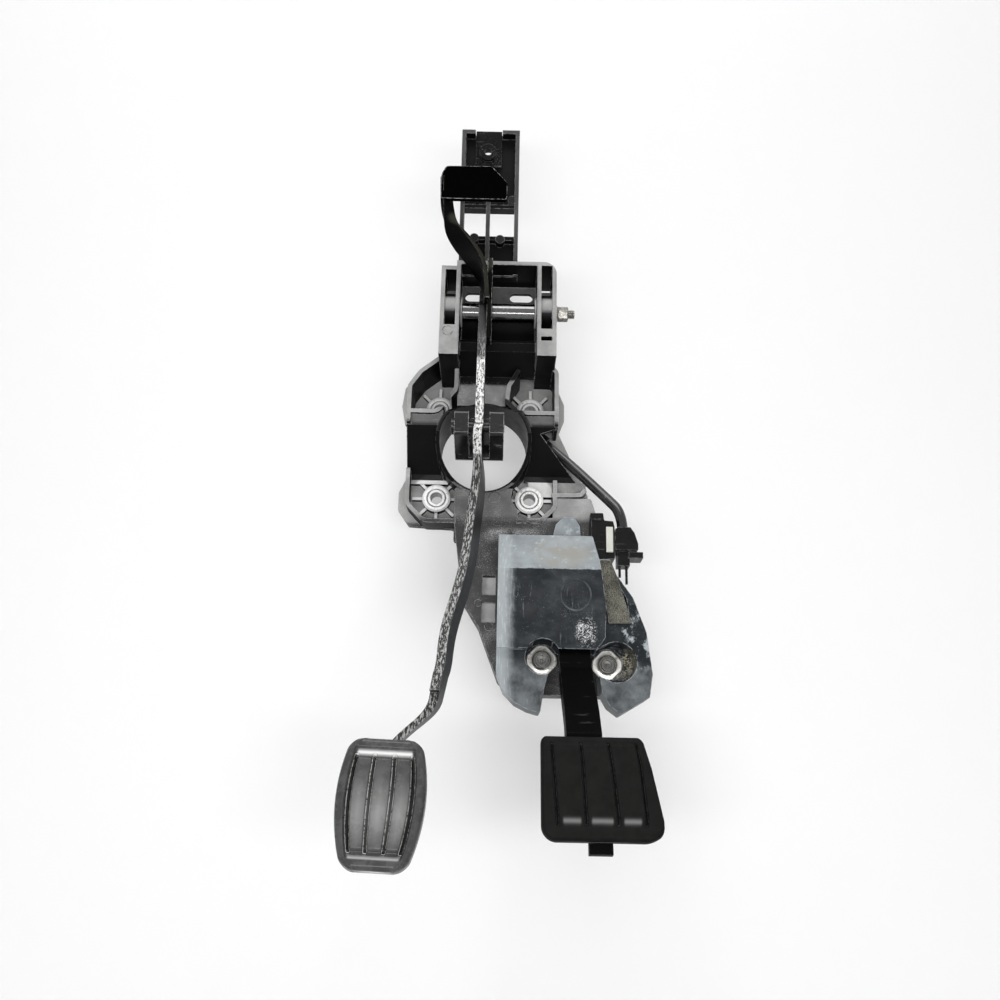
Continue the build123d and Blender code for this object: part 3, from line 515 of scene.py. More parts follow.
@dataclass(frozen=True)
class EffectLibrary:
    """Builds each shared effect once, as a shader group with named inputs and outputs."""

    wear_samples: int = 6

    def start(self, effect: Effect, inputs: dict[str, float | Point],
              outputs: dict[str, str]) -> tuple[Graph, bpy.types.Node, bpy.types.Node]:
        """Opens a group.

        Args:
            effect: the group to make.
            inputs: input names with their first values.
            outputs: output names with float or vector.

        Returns:
            The graph, the node that holds its inputs and the node that holds its outputs.
        """
        tree = bpy.data.node_groups.new(effect.value, "ShaderNodeTree")
        for name, value in inputs.items():
            kind = "NodeSocketFloat" if isinstance(value, (int, float)) else "NodeSocketVector"
            socket = tree.interface.new_socket(name, in_out="INPUT", socket_type=kind)
            socket.default_value = value
        for name, kind in outputs.items():
            socket_type = "NodeSocketFloat" if kind == "float" else "NodeSocketVector"
            tree.interface.new_socket(name, in_out="OUTPUT", socket_type=socket_type)
        graph = Graph(tree)
        return graph, graph.add("NodeGroupInput"), graph.add("NodeGroupOutput")

    def edge_wear(self) -> None:
        """How far a rounded normal leaves the flat one, broken up by noise, gives a worn edge."""
        graph, given, result = self.start(
            Effect.EDGE_WEAR, {"Radius": 0.0005, "Amount": 0.5, "Break Up": 400.0},
            {"Mask": "float", "Normal": "vector"})
        bevel = graph.add("ShaderNodeBevel", {"Radius": given.outputs["Radius"]}, samples=self.wear_samples)
        flat = graph.add("ShaderNodeNewGeometry").outputs["Normal"]
        edge = graph.ramp(graph.dot(bevel.outputs[0], flat), 0.995, 0.93)
        broken = graph.ramp(graph.noise(given.outputs["Break Up"], 4.0, 0.65), 0.38, 0.56)
        graph.feed(result.inputs["Mask"], graph.times(edge, broken, given.outputs["Amount"]))
        graph.feed(result.inputs["Normal"], bevel.outputs[0])

    def specks(self) -> None:
        """Fine bright grains: the small cells of one noise that rise over a level set by another."""
        graph, given, result = self.start(
            Effect.SPECKS, {"Scale": 1500.0, "Level": 0.6, "Patch Scale": 60.0}, {"Mask": "float"})
        fine = graph.noise(given.outputs["Scale"], 2.0, 0.7)
        patch = graph.noise(given.outputs["Patch Scale"], 2.0, 0.5)
        level = graph.less(given.outputs["Level"], graph.times(graph.less(patch, 0.5), 0.35))
        over = graph.times(graph.less(fine, level), 14.0)
        graph.feed(result.inputs["Mask"], graph.add("ShaderNodeClamp", {"Value": over}).outputs[0])

    def scuffs(self) -> None:
        """Dragged marks: a noise pulled long along one line, kept only where it is high and where a patch allows."""
        graph, given, result = self.start(
            Effect.SCUFFS, {"Stretch": (60.0, 60.0, 900.0), "Turn": (0.0, 0.3, 0.0), "Level": 0.6}, {"Mask": "float"})
        inputs = {"Vector": graph.place(), "Scale": given.outputs["Stretch"], "Rotation": given.outputs["Turn"]}
        long = graph.add("ShaderNodeMapping", inputs).outputs[0]
        line = graph.noise(1.0, 4.0, 0.6, at=long)
        patch = graph.ramp(graph.noise(45.0, 2.0, 0.5), 0.45, 0.65)
        over = graph.times(graph.less(line, given.outputs["Level"]), 9.0)
        clean = graph.add("ShaderNodeClamp", {"Value": over}).outputs[0]
        graph.feed(result.inputs["Mask"], graph.times(clean, patch))

    def dust_and_lit_faces(self) -> None:
        """Dust and painted light lie where the surface faces a given way, thinned by a cloudy noise."""
        graph, given, result = self.start(
            Effect.DUST_AND_LIT_FACES, {"Facing": (0.0, -1.0, 0.0), "Amount": 0.5, "Cloud Scale": 90.0, "Least": 0.86},
            {"Mask": "float"})
        unit = graph.add("ShaderNodeVectorMath", {0: given.outputs["Facing"]}, operation="NORMALIZE").outputs[0]
        facing = graph.ramp(graph.dot(graph.own_normal(), unit), given.outputs["Least"], 0.985)
        cloud = graph.ramp(graph.noise(given.outputs["Cloud Scale"], 5.0, 0.6), 0.3, 0.7, 0.68, 1.0)
        graph.feed(result.inputs["Mask"], graph.times(facing, cloud, given.outputs["Amount"]))

    def mould_grain(self) -> None:
        """The fine pebbled skin of a moulding, as a height."""
        graph, given, result = self.start(Effect.MOULD_GRAIN, {"Scale": 2200.0}, {"Height": "float"})
        fine = graph.noise(given.outputs["Scale"], 2.0, 0.5)
        broad = graph.noise(160.0, 2.0, 0.5)
        graph.feed(result.inputs["Height"], graph.line(broad, 1.2, fine))

    def patches(self) -> None:
        """A soft cloud from 0 to 1, for colour and shine that change over a surface."""
        graph, given, result = self.start(Effect.PATCHES, {"Scale": 40.0}, {"Value": "float"})
        cloud = graph.noise(given.outputs["Scale"], 5.0, 0.6)
        graph.feed(result.inputs["Value"], graph.ramp(cloud, 0.3, 0.7))

    def build(self) -> None:
        """Builds every effect."""
        self.edge_wear()
        self.specks()
        self.scuffs()
        self.dust_and_lit_faces()
        self.mould_grain()
        self.patches()


def open_material(name: str) -> tuple[bpy.types.Material, Graph, bpy.types.Node]:
    """Starts a material.

    Args:
        name: the finish's name.

    Returns:
        The material, its graph, and its Principled shader, already joined to the output.
    """
    material = bpy.data.materials.new(name)
    material.use_nodes = True
    material.node_tree.nodes.clear()
    graph = Graph(material.node_tree)
    shader = graph.add("ShaderNodeBsdfPrincipled")
    graph.add("ShaderNodeOutputMaterial", {"Surface": shader.outputs[0]})
    return material, graph, shader


# Finishes


@dataclass(frozen=True)
class MouldedPlastic:
    """A dark moulding lightened where it faces the driver, by dust and handling and by painted light."""

    name: str
    base: Colour = (0.012, 0.012, 0.013)
    dusty_lit_grey: Colour = (0.30, 0.30, 0.31)
    edge: Colour = (0.60, 0.60, 0.61)
    speck: Colour = (0.75, 0.75, 0.76)
    dust_and_light: float = 0.8
    facing: Point = (0.0, -1.0, 0.12)
    edge_amount: float = 0.6
    speck_level: float = 0.66
    roughness: float = 0.42
    shine: float = 0.2
    grain_depth: float = 0.00004
    grain_scale: float = 2400.0
    mottle: float = 0.0

    def material(self) -> bpy.types.Material:
        """Builds the finish.

        Returns:
            The material.
        """
        material, graph, shader = open_material(self.name)
        # Dust and painted light on the faces that face the driver.
        dust_and_light = graph.effect(Effect.DUST_AND_LIT_FACES, Facing=self.facing, Amount=self.dust_and_light, Cloud_Scale=70.0)
        wear, rounded = graph.worn(0.0007, self.edge_amount, 350.0)
        specks = graph.effect(Effect.SPECKS, Scale=1700.0, Level=self.speck_level)
        scuffs = graph.effect(Effect.SCUFFS, Level=0.62)
        colour = graph.mix(dust_and_light, self.base, self.dusty_lit_grey)
        if self.mottle:
            pits = graph.ramp(graph.noise(330.0, 3.0, 0.6), 0.46, 0.58)
            colour = graph.over(colour, self.base, pits, self.mottle)
        colour = graph.over(colour, self.edge, scuffs, 0.25)
        colour = graph.over(colour, self.speck, specks, dust_and_light)
        colour = graph.mix(wear, colour, self.edge)
        cloud = graph.effect(Effect.PATCHES, Scale=55.0)
        rough = graph.line(cloud, 0.16, self.roughness - 0.08)
        grain = graph.effect(Effect.MOULD_GRAIN, Scale=self.grain_scale)
        bump = graph.bump(grain, 0.5, self.grain_depth, rounded)
        graph.fill(shader, {"Base Color": colour, "Roughness": rough, "Specular IOR Level": self.shine,
                            "Normal": bump})
        return material


@dataclass(frozen=True)
class BracketPlastic:
    """The bracket's glass-filled moulding: black, lightened on its front faces by dust and painted light, with a
    painted highlight round the four studs.

    Each painted shade zone is a zone's span in X, its span in Z and the level that the painted light falls to inside
    it: the left and the right web, the face under the pivot box, the box's back wall, and the skin below and above the
    servo opening.
    """

    name: str = "bracket_plastic"
    base: Colour = (0.0045, 0.0045, 0.005)
    dusty_lit_grey: Colour = (0.41, 0.41, 0.405)
    pale: Colour = (0.93, 0.93, 0.92)
    edge: Colour = grey(0.62)
    speck: Colour = grey(0.80)
    stud_x: float = 0.036
    stud_z: float = 0.037
    pale_r: float = 0.021
    tower_z: float = 0.142
    tower_foot: Span = (0.1363, 0.040)
    tower_lean: float = 0.1396
    rib_h: float = 0.012
    plate_z: float = -0.052
    bore_r: float = 0.0343
    collar_r: float = 0.0380
    box_floor: tuple[Span, Span] = ((-0.0195, 0.0377), (0.1165, 0.1360))
    box_edges: tuple[Span, Span] = ((-0.0195, 0.0377), (0.050, 0.135))
    glint_band: tuple[Span, Span] = ((0.004, 0.042), (-0.0710, -0.0640))
    lit_window_floor: tuple[Span, Span] = ((-0.0035, 0.027), (-0.139, -0.097))
    painted_shade_zones: tuple[tuple[Span, Span, float], ...] = (
        ((-0.075, -0.036), (-0.0165, 0.0165), 0.22), ((0.036, 0.085), (-0.0165, 0.0165), 0.05),
        ((-0.0205, 0.0387), (0.050, 0.1165), 0.0), ((-0.0205, 0.0387), (0.1165, 0.1365), 0.45),
        ((-0.030, 0.034), (-0.056, 0.0), 0.50), ((-0.030, 0.030), (0.033, 0.050), 0.85))

    def zone(self, graph: Graph, axes: Sockets, across: Span, up: Span, level: float, soft: float = 0.0015) -> Socket:
        """A soft-edged box across and up the bracket, inside which a factor falls to a level.

        Args:
            graph: the material's graph.
            axes: the separated coordinates.
            across: the box's least and greatest X in metres.
            up: its least and greatest Z in metres.
            level: the factor inside the box, where it is 1 outside.
            soft: the width of its soft edge.

        Returns:
            The factor.
        """
        sides = [side for axis, (low, high) in (("X", across), ("Z", up))
                 for side in (graph.ramp(axes[axis], low - soft, low + soft),
                              graph.ramp(axes[axis], high + soft, high - soft))]
        return graph.line(graph.times(*sides), level - 1.0, 1.0)

    def painted_light_level(self, graph: Graph, axes: Sockets) -> Socket:
        """How much painted light each part of the front gets: painted shade keeps the tower, webs and box dark, and
        the lower plate half dark.

        Args:
            graph: the material's graph.
            axes: the separated coordinates.

        Returns:
            A factor, 1 where the front is as grey as it gets.
        """
        # Painted shade in the tower: its recessed plate stays darkest and its ribs' front faces get little painted
        # light; above the tower's top the painted light is full.
        foot_z, foot_h = self.tower_foot
        cos_lean, sin_lean = math.cos(self.tower_lean), math.sin(self.tower_lean)
        forward = graph.less(graph.times(axes["Y"], -cos_lean), foot_h * cos_lean)
        forward = graph.line(graph.less(axes["Z"], foot_z), -sin_lean, forward)
        ribs = graph.ramp(forward, self.rib_h - 0.0012, self.rib_h - 0.0006, 0.010, 0.22)
        above = graph.ramp(axes["Z"], self.tower_z - 0.003, self.tower_z)
        level = graph.line(above, graph.less(ribs, 1.0), 1.0)
        # Painted shade on the plate below its top edge.
        level = graph.times(level, graph.ramp(axes["Z"], self.plate_z - 0.006, self.plate_z, 0.20, 1.0))
        # Painted shade in each zone.
        for across, up, factor in self.painted_shade_zones:
            level = graph.times(level, self.zone(graph, axes, across, up, factor))
        # Painted shade: no painted light in the top of the pivot box nearer the driver than 38.5 mm.
        box = graph.rest(self.zone(graph, axes, *self.box_floor, 0.0))
        level = graph.times(level, graph.line(box, graph.ramp(axes["Y"], -0.0385, -0.0370, -1.0, 0.0), 1.0))
        # The servo collar's front gets no painted light.
        return graph.times(level, graph.line(self.collar(graph, axes, -0.034), -0.95, 1.0))

    def bore(self, graph: Graph, axes: Sockets) -> Socket:
        """1 on the inner wall of the servo opening, and 0 away from it."""
        return graph.ramp(graph.reach(axes["X"], axes["Z"]), self.bore_r + 0.0007, self.bore_r)

    def collar(self, graph: Graph, axes: Sockets, depth: float) -> Socket:
        """1 on the servo opening's collar, nearer to the driver than a depth, and 0 away from it."""
        within = graph.ramp(graph.reach(axes["X"], axes["Z"]), self.collar_r + 0.0015, self.collar_r)
        return graph.times(within, graph.ramp(axes["Y"], depth + 0.001, depth - 0.001))

    def material(self) -> bpy.types.Material:
        """Builds the finish.

        Returns:
            The material.
        """
        material, graph, shader = open_material(self.name)
        axes = graph.axes()
        # A painted highlight round the four studs, brightest on the rib tops.
        fold_x = graph.less(graph.math("ABSOLUTE", axes["X"]), self.stud_x)
        fold_z = graph.less(graph.math("ABSOLUTE", axes["Z"]), self.stud_z)
        stud_highlight = graph.ramp(graph.reach(fold_x, fold_z), self.pale_r + 0.001, self.pale_r - 0.002)
        deep = graph.ramp(axes["Y"], -0.016, -0.012)
        stud_highlight = graph.times(stud_highlight, deep, graph.ramp(axes["Y"], -0.0048, -0.0055, 0.30, 1.0))
        # Dust and painted light where the surface faces the driver; the painted light level sets how far it greys.
        dust_and_light = graph.effect(Effect.DUST_AND_LIT_FACES, Facing=(0.0, -1.0, 0.05), Amount=1.0, Cloud_Scale=60.0)
        front = graph.times(dust_and_light, self.painted_light_level(graph, axes))
        colour = graph.mix(front, self.base, self.dusty_lit_grey)
        colour = graph.over(colour, self.pale, dust_and_light, stud_highlight)
        # Dust and painted light again on the flange's front face.
        flange = graph.times(graph.ramp(axes["Y"], -0.0050, -0.0042), graph.ramp(axes["Z"], -0.056, -0.054))
        colour = graph.over(colour, self.dusty_lit_grey, dust_and_light, flange, 0.9)
        scuffs = graph.effect(Effect.SCUFFS, Level=0.60)
        colour = graph.over(colour, self.edge, scuffs, front, 0.5)
        specks = graph.effect(Effect.SPECKS, Scale=1500.0, Level=0.60)
        gritty = graph.times(dust_and_light, graph.ramp(axes["Y"], -0.033, -0.031, 0.0, 1.0), 0.55)
        gritty = graph.times(gritty, graph.ramp(axes["Z"], 0.055, 0.050))
        colour = graph.over(colour, self.speck, specks, gritty)
        # Painted glints in a band across the plate.
        glints = graph.effect(Effect.SPECKS, Scale=1700.0, Level=0.50, Patch_Scale=170.0)
        glint_patch = graph.rest(self.zone(graph, axes, *self.glint_band, 0.0, 0.004))
        glint_patch = graph.times(glint_patch, 0.7)
        colour = graph.over(colour, self.pale, glints, glint_patch, dust_and_light)
        # Painted light on the floors of the lower windows, which lie in shade.
        floor = self.zone(graph, axes, *self.lit_window_floor, 0.0)
        floor = graph.times(graph.rest(floor), graph.ramp(axes["Y"], -0.0125, -0.0115))
        colour = graph.over(colour, self.pale, floor, dust_and_light)
        colour = graph.mix(self.bore(graph, axes), colour, self.base)
        for way, gate in (((0.0, 1.0, 0.0), 1.0), ((1.0, 0.0, 0.0), graph.ramp(axes["X"], 0.0495, 0.0520)),
                          ((-1.0, 0.0, 0.0), graph.ramp(axes["X"], -0.0340, -0.0350))):
            far_side = graph.effect(Effect.DUST_AND_LIT_FACES, Facing=way, Amount=1.0, Cloud_Scale=45.0)
            far_side = graph.times(far_side, gate, 0.13)
            colour = graph.mix(far_side, colour, self.dusty_lit_grey)
        wear, rounded = graph.worn(0.0008, 0.8, 300.0)
        edge_level = graph.ramp(axes["Z"], self.tower_z, self.tower_z - 0.004, 0.55, 1.0)
        edge_level = graph.times(edge_level, graph.line(self.collar(graph, axes, -0.012), -0.8, 1.0))
        box = graph.rest(self.zone(graph, axes, *self.box_edges, 0.0))
        edge_level = graph.times(edge_level, graph.line(box, -0.85, 1.0))
        colour = graph.over(colour, self.edge, wear, edge_level)
        cloud = graph.effect(Effect.PATCHES, Scale=55.0)
        grain = graph.effect(Effect.MOULD_GRAIN, Scale=2400.0)
        bump = graph.bump(grain, 0.5, 0.00005, rounded)
        graph.fill(shader, {"Base Color": colour, "Roughness": graph.line(cloud, 0.16, 0.30),
                            "Specular IOR Level": 0.06, "Normal": bump})
        return material


@dataclass(frozen=True)
class ModulePlastic:
    """The accelerator module's blue-grey shell: a top band pale with dust and painted light, a front darkened by
    painted shade, a left bevel lightened by painted light, and scuffs.
    """

    name: str
    shaded_slate: Colour = (0.009, 0.0115, 0.0145)
    dusty_lit: Colour = (0.34, 0.37, 0.385)
    bevel: Colour = (0.42, 0.455, 0.47)
    sandy: Colour = (0.36, 0.33, 0.27)
    pale: Colour = (0.58, 0.63, 0.66)
    bright: Colour = (0.72, 0.74, 0.75)
    fold_z: float = -0.104
    ring_x: float = 0.0680
    ring_z: float = -0.1215
    ring_r: float = 0.0105
    left_x: float = 0.0200
    crumbs_x: float = 0.0755
    crumbs_z: float = -0.147
    lobe_z: float = -0.168

    def spot(self, graph: Graph, x: float, z: float, wide: float, high: float) -> Socket:
        """A soft round patch: 1 at its middle, 0 outside its half sizes."""
        return graph.ramp(graph.off_line(x, z, wide, high), 1.0, 0.55)

    def material(self) -> bpy.types.Material:
        """Builds the finish.

        Returns:
            The material.
        """
        material, graph, shader = open_material(self.name)
        axes = graph.axes()
        # Above the fold the top band is pale with dust and painted light; below it the front is darkened by painted
        # shade.
        ragged = graph.line(graph.noise(260.0, 4.0), 0.0012, axes["Z"])
        band = graph.ramp(ragged, self.fold_z + 0.0002, self.fold_z + 0.0010)
        streaks = graph.noise(1.0, 6.0, 0.62, at=graph.stretched(graph.place(), (55.0, 55.0, 90.0), (0.0, 35.0, 0.0)))
        shaded_slate = graph.mix(graph.ramp(streaks, 0.40, 0.72), self.shaded_slate, (0.036, 0.042, 0.047))
        cloud = graph.effect(Effect.PATCHES, Scale=70.0)
        top = graph.mix(cloud, self.dusty_lit, (0.24, 0.265, 0.28))
        blooms = graph.ramp(graph.noise(190.0, 5.0, 0.68), 0.56, 0.70)
        top = graph.over(top, self.pale, blooms, 0.55)
        sand = graph.times(self.spot(graph, 0.058, -0.091, 0.026, 0.016), cloud)
        top = graph.over(top, self.sandy, sand, 0.7)
        colour = graph.mix(band, shaded_slate, top)
        # Painted light on the left bevel, with scuffs dragged along it.
        left = graph.ramp(graph.line(graph.noise(130.0, 5.0, 0.7), 0.006, axes["X"]),
                          self.left_x + 0.010, self.left_x)
        colour = graph.over(colour, self.bevel, left, 0.9)
        dragged = graph.stretched(graph.place(), (700.0, 300.0, 60.0))
        streak = graph.ramp(graph.noise(1.0, 3.0, 0.6, at=dragged), 0.52, 0.62)
        colour = graph.over(colour, self.pale, left, streak, 0.5)
        lobe = graph.ramp(axes["Z"], self.lobe_z + 0.004, self.lobe_z - 0.006)
        dusty_lobe = graph.times(lobe, graph.line(cloud, 0.40, 0.10))
        colour = graph.mix(dusty_lobe, colour, self.dusty_lit)
        scuff_a = graph.effect(Effect.SCUFFS, Stretch=(90.0, 90.0, 420.0), Turn=(0.0, 0.7, 0.0), Level=0.63)
        scuff_b = graph.effect(Effect.SCUFFS, Stretch=(420.0, 90.0, 80.0), Turn=(0.0, 0.5, 0.0), Level=0.60)
        marks = graph.math("MAXIMUM", scuff_a, scuff_b)
        colour = graph.over(colour, self.pale, marks, 0.2)
        crumbs = graph.effect(Effect.SPECKS, Scale=1100.0, Level=0.53, Patch_Scale=150.0)
        crumbs = graph.times(crumbs, self.spot(graph, self.crumbs_x, self.crumbs_z, 0.009, 0.013))
        colour = graph.mix(crumbs, colour, self.bright)
        specks = graph.effect(Effect.SPECKS, Scale=1500.0, Level=0.70)
        colour = graph.over(colour, self.pale, specks, 0.6)
        wiped = graph.stretched(graph.place(), (160.0, 60.0, 120.0), (0.0, 40.0, 0.0))
        chalk = graph.ramp(graph.noise(1.0, 5.0, 0.7, at=wiped), 0.54, 0.66)
        chalky = graph.times(chalk, self.spot(graph, 0.112, -0.148, 0.018, 0.030))
        colour = graph.over(colour, self.pale, chalky, 0.7)
        brass = graph.effect(Effect.SPECKS, Scale=900.0, Level=0.50, Patch_Scale=200.0)
        brass = graph.times(brass, self.spot(graph, 0.107, -0.168, 0.013, 0.016))
        brass = graph.times(brass, graph.ramp(axes["Y"], -0.0452, -0.0440))
        colour = graph.mix(brass, colour, (0.50, 0.46, 0.34))
        off_ring = graph.less(graph.off_line(self.ring_x, self.ring_z), self.ring_r)
        ring = graph.ramp(graph.math("ABSOLUTE", off_ring), 0.0009, 0.0003)
        colour = graph.over(colour, self.pale, ring, cloud, 0.16)
        wear, rounded = graph.worn(0.0009, 0.8, 260.0)
        colour = graph.mix(wear, colour, self.pale)
        grain = graph.effect(Effect.MOULD_GRAIN, Scale=1800.0)
        height = graph.math("ADD", grain, graph.times(ring, 4.0))
        bump = graph.bump(height, 0.6, 0.00006, rounded)
        graph.fill(shader, {"Base Color": colour, "Roughness": graph.line(cloud, 0.2, 0.36),
                            "Specular IOR Level": 0.12, "Normal": bump})
        return material


@dataclass(frozen=True)
class WornSteel:
    """Black painted pressed steel whose front edge has worn to bare, flaking metal between two heights, a strip that
    is also a painted glint; dust and painted light dull its front faces.
    """

    name: str
    paint: Colour = grey(0.006)
    metal: Colour = (0.63, 0.63, 0.62)
    dull: Colour = (0.035, 0.035, 0.033)
    bright_low: float = -0.029
    bright_high: float = 0.048
    level_bright: float = 0.45
    level_dull: float = 0.50
    roughness: float = 0.30
    edge_amount: float = 0.35
    shine: float = 0.18
    worn_top: float = 0.078

    def material(self) -> bpy.types.Material:
        """Builds the finish.

        Returns:
            The material.
        """
        material, graph, shader = open_material(self.name)
        axes = graph.axes()
        # The worn strip on the front faces is bare metal and a painted glint.
        front = graph.ramp(graph.dot(graph.own_normal(), (0.0, -1.0, 0.0)), 0.6, 0.9)
        above = graph.ramp(axes["Z"], self.bright_low - 0.002, self.bright_low + 0.001)
        below = graph.ramp(axes["Z"], self.bright_high + 0.004, self.bright_high - 0.002)
        worn_glint_strip = graph.times(above, below, front)
        flakes = graph.noise(800.0, 5.0, 0.75, at=graph.stretched(graph.place(), (1.0, 1.0, 0.45)))
        bare = graph.times(worn_glint_strip, graph.ramp(flakes, self.level_bright, self.level_bright + 0.06))
        lower = graph.ramp(axes["Z"], self.bright_high + 0.03, self.bright_high - 0.005)
        streaks = graph.noise(900.0, 4.0, 0.7, at=graph.stretched(graph.place(), (1.0, 1.0, 0.12)))
        rubbed = graph.times(front, lower, graph.ramp(streaks, self.level_dull, self.level_dull + 0.05))
        wear, rounded = graph.worn(0.0006, self.edge_amount, 500.0)
        worn = graph.math("MAXIMUM", graph.math("MAXIMUM", bare, graph.times(rubbed, 0.50)), wear)
        # Dust and painted light on the faces that face the driver and up.
        dust_and_lit_face = graph.effect(Effect.DUST_AND_LIT_FACES, Facing=(0.0, -1.0, 0.3), Amount=0.5, Cloud_Scale=150.0)
        dusty_lit = graph.ramp(axes["Z"], self.worn_top, self.worn_top - 0.035)
        colour = graph.over(self.paint, self.dull, dust_and_lit_face, dusty_lit)
        colour = graph.mix(worn, colour, self.metal)
        specks = graph.effect(Effect.SPECKS, Scale=900.0, Level=0.70)
        colour = graph.over(colour, self.dull, specks, 0.5)
        dents = graph.noise(420.0, 4.0, 0.6)
        height = graph.less(dents, graph.times(worn, 0.8))
        bump = graph.bump(height, 0.7, 0.00012, rounded)
        graph.fill(shader, {"Base Color": colour, "Roughness": graph.line(flakes, 0.25, self.roughness - 0.1),
                            "Metallic": graph.times(worn, 0.25), "Specular IOR Level": self.shine, "Normal": bump})
        return material


@dataclass(frozen=True)
class PlatedSteel:
    """Bright zinc or bare steel with stains and a fine turned grain."""

    name: str
    bright: Colour = (0.78, 0.77, 0.74)
    stain: Colour = (0.22, 0.20, 0.16)
    roughness: float = 0.28
    stain_low: float = 0.50
    stain_high: float = 0.72
    metallic: float = 1.0
    dark_disc_at: tuple[Span, ...] = ()
    head_r: float = 0.0066
    dark_disc_level: float = 0.88

    def material(self) -> bpy.types.Material:
        """Builds the finish.

        Returns:
            The material.
        """
        material, graph, shader = open_material(self.name)
        spots = graph.ramp(graph.noise(420.0, 5.0, 0.65), self.stain_low, self.stain_high)
        wear, rounded = graph.worn(0.0004, 0.4, 700.0)
        colour = graph.mix(spots, self.bright, self.stain)
        # Dark discs: painted shade down the stud holes of the mounting sleeves, and darker heads on the module bolts.
        for x, z in self.dark_disc_at:
            head = graph.ramp(graph.off_line(x, z), self.head_r + 0.0006, self.head_r - 0.0006)
            colour = graph.over(colour, (0.04, 0.04, 0.037), head, self.dark_disc_level)
        colour = graph.mix(wear, colour, (0.9, 0.9, 0.88))
        grain = graph.noise(1.0, 2.0, 0.5, at=graph.stretched(graph.place(), (1800.0, 1800.0, 1800.0)))
        bump = graph.bump(grain, 0.3, 0.00002, rounded)
        graph.fill(shader, {"Base Color": colour, "Metallic": self.metallic,
                            "Roughness": graph.line(spots, 0.3, self.roughness), "Normal": bump})
        return material


@dataclass(frozen=True)
class Rubber:
    """Pedal rubber: worn grey on its high parts, black and gritty down in its grooves."""

    name: str
    high: Colour = grey(0.085)
    low: Colour = grey(0.012)
    grit: Colour = (0.85, 0.85, 0.83)
    grit_amount: float = 1.0
    roughness: float = 0.45
    polish_and_highlight: float = 0.3
    shine: float = 0.4

    def material(self) -> bpy.types.Material:
        """Builds the finish; the piece's own relief attribute runs from 0 in a groove to 1 on a bar.

        Returns:
            The material.
        """
        material, graph, shader = open_material(self.name)
        relief = graph.add("ShaderNodeAttribute", attribute_name="relief").outputs["Fac"]
        polish_and_highlight = graph.add("ShaderNodeAttribute", attribute_name="polish_and_highlight").outputs["Fac"]
        cloud = graph.effect(Effect.PATCHES, Scale=120.0)
        worn = graph.times(graph.ramp(relief, 0.35, 0.98), graph.line(cloud, 0.5, 0.5))
        colour = graph.mix(worn, self.low, self.high)
        # Polish and painted highlight lay a pale colour over the rubber.
        colour = graph.over(colour, (0.80, 0.80, 0.79), polish_and_highlight, self.polish_and_highlight)
        specks = graph.effect(Effect.SPECKS, Scale=1000.0, Level=0.42, Patch_Scale=220.0)
        in_groove = graph.times(graph.ramp(relief, 0.62, 0.30), graph.ramp(relief, 0.02, 0.2))
        colour = graph.over(colour, self.grit, specks, in_groove, self.grit_amount)
        fine = graph.noise(1500.0, 3.0, 0.6)
        bump = graph.bump(fine, 0.4, 0.00005)
        graph.fill(shader, {"Base Color": colour, "Roughness": graph.line(cloud, 0.16, self.roughness - 0.08),
                            "Specular IOR Level": self.shine, "Normal": bump})
        return material


@dataclass(frozen=True)
class LeadSheath:
    """The smooth black sheath of the sensor's lead."""

    name: str
    base: Colour = grey(0.008)

    def material(self) -> bpy.types.Material:
        """Builds the finish.

        Returns:
            The material.
        """
        material, graph, shader = open_material(self.name)
        cloud = graph.effect(Effect.PATCHES, Scale=90.0)
        scuffs = graph.effect(Effect.SCUFFS, Stretch=(300.0, 300.0, 60.0), Turn=(0.0, 0.9, 0.0), Level=0.62)
        colour = graph.mix(cloud, self.base, grey(0.022))
        colour = graph.over(colour, grey(0.3), scuffs, 0.4)
        fine = graph.noise(900.0, 2.0, 0.5)
        bump = graph.bump(fine, 0.25, 0.00004)
        graph.fill(shader, {"Base Color": colour, "Roughness": graph.line(cloud, 0.10, 0.14),
                            "Specular IOR Level": 0.45, "Normal": bump})
        return material


@dataclass(frozen=True)
class Paper:
    """The pale sheets under and behind the object, which shine a little for the camera, and in mirrors and glass."""

    name: str
    colour: Colour
    glow: float
    one_sided: bool = False

    def material(self) -> bpy.types.Material:
        """Builds the finish.

        Returns:
            The material.
        """
        material, graph, shader = open_material(self.name)
        cloud = graph.noise(3.0, 2.0, 0.5)
        shade = graph.mix(graph.ramp(cloud, 0.2, 0.8), self.colour, tuple(v * 0.985 for v in self.colour))
        graph.fill(shader, {"Base Color": shade, "Roughness": 0.9, "Specular IOR Level": 0.0})
        white = graph.add("ShaderNodeEmission", {"Strength": 1.0}).outputs[0]
        seen = graph.times(graph.seen(), self.glow)
        surface = graph.add("ShaderNodeMixShader", {0: seen, 1: shader.outputs[0], 2: white}).outputs[0]
        if self.one_sided:
            behind = graph.add("ShaderNodeNewGeometry").outputs["Backfacing"]
            clear = graph.add("ShaderNodeBsdfTransparent").outputs[0]
            surface = graph.add("ShaderNodeMixShader", {0: behind, 1: surface, 2: clear}).outputs[0]
        output = next(node for node in graph.tree.nodes if node.type == "OUTPUT_MATERIAL")
        graph.feed(output.inputs["Surface"], surface)
        return material


Finish = MouldedPlastic | BracketPlastic | ModulePlastic | WornSteel | PlatedSteel | Rubber | LeadSheath | Paper


def dress(piece: bpy.types.Object, material: bpy.types.Material) -> None:
    """Puts one material on a piece, in every slot that it has.

    Args:
        piece: the piece.
        material: its material.
    """
    if not piece.material_slots:
        piece.data.materials.append(material)
    for slot in piece.material_slots:
        slot.material = material


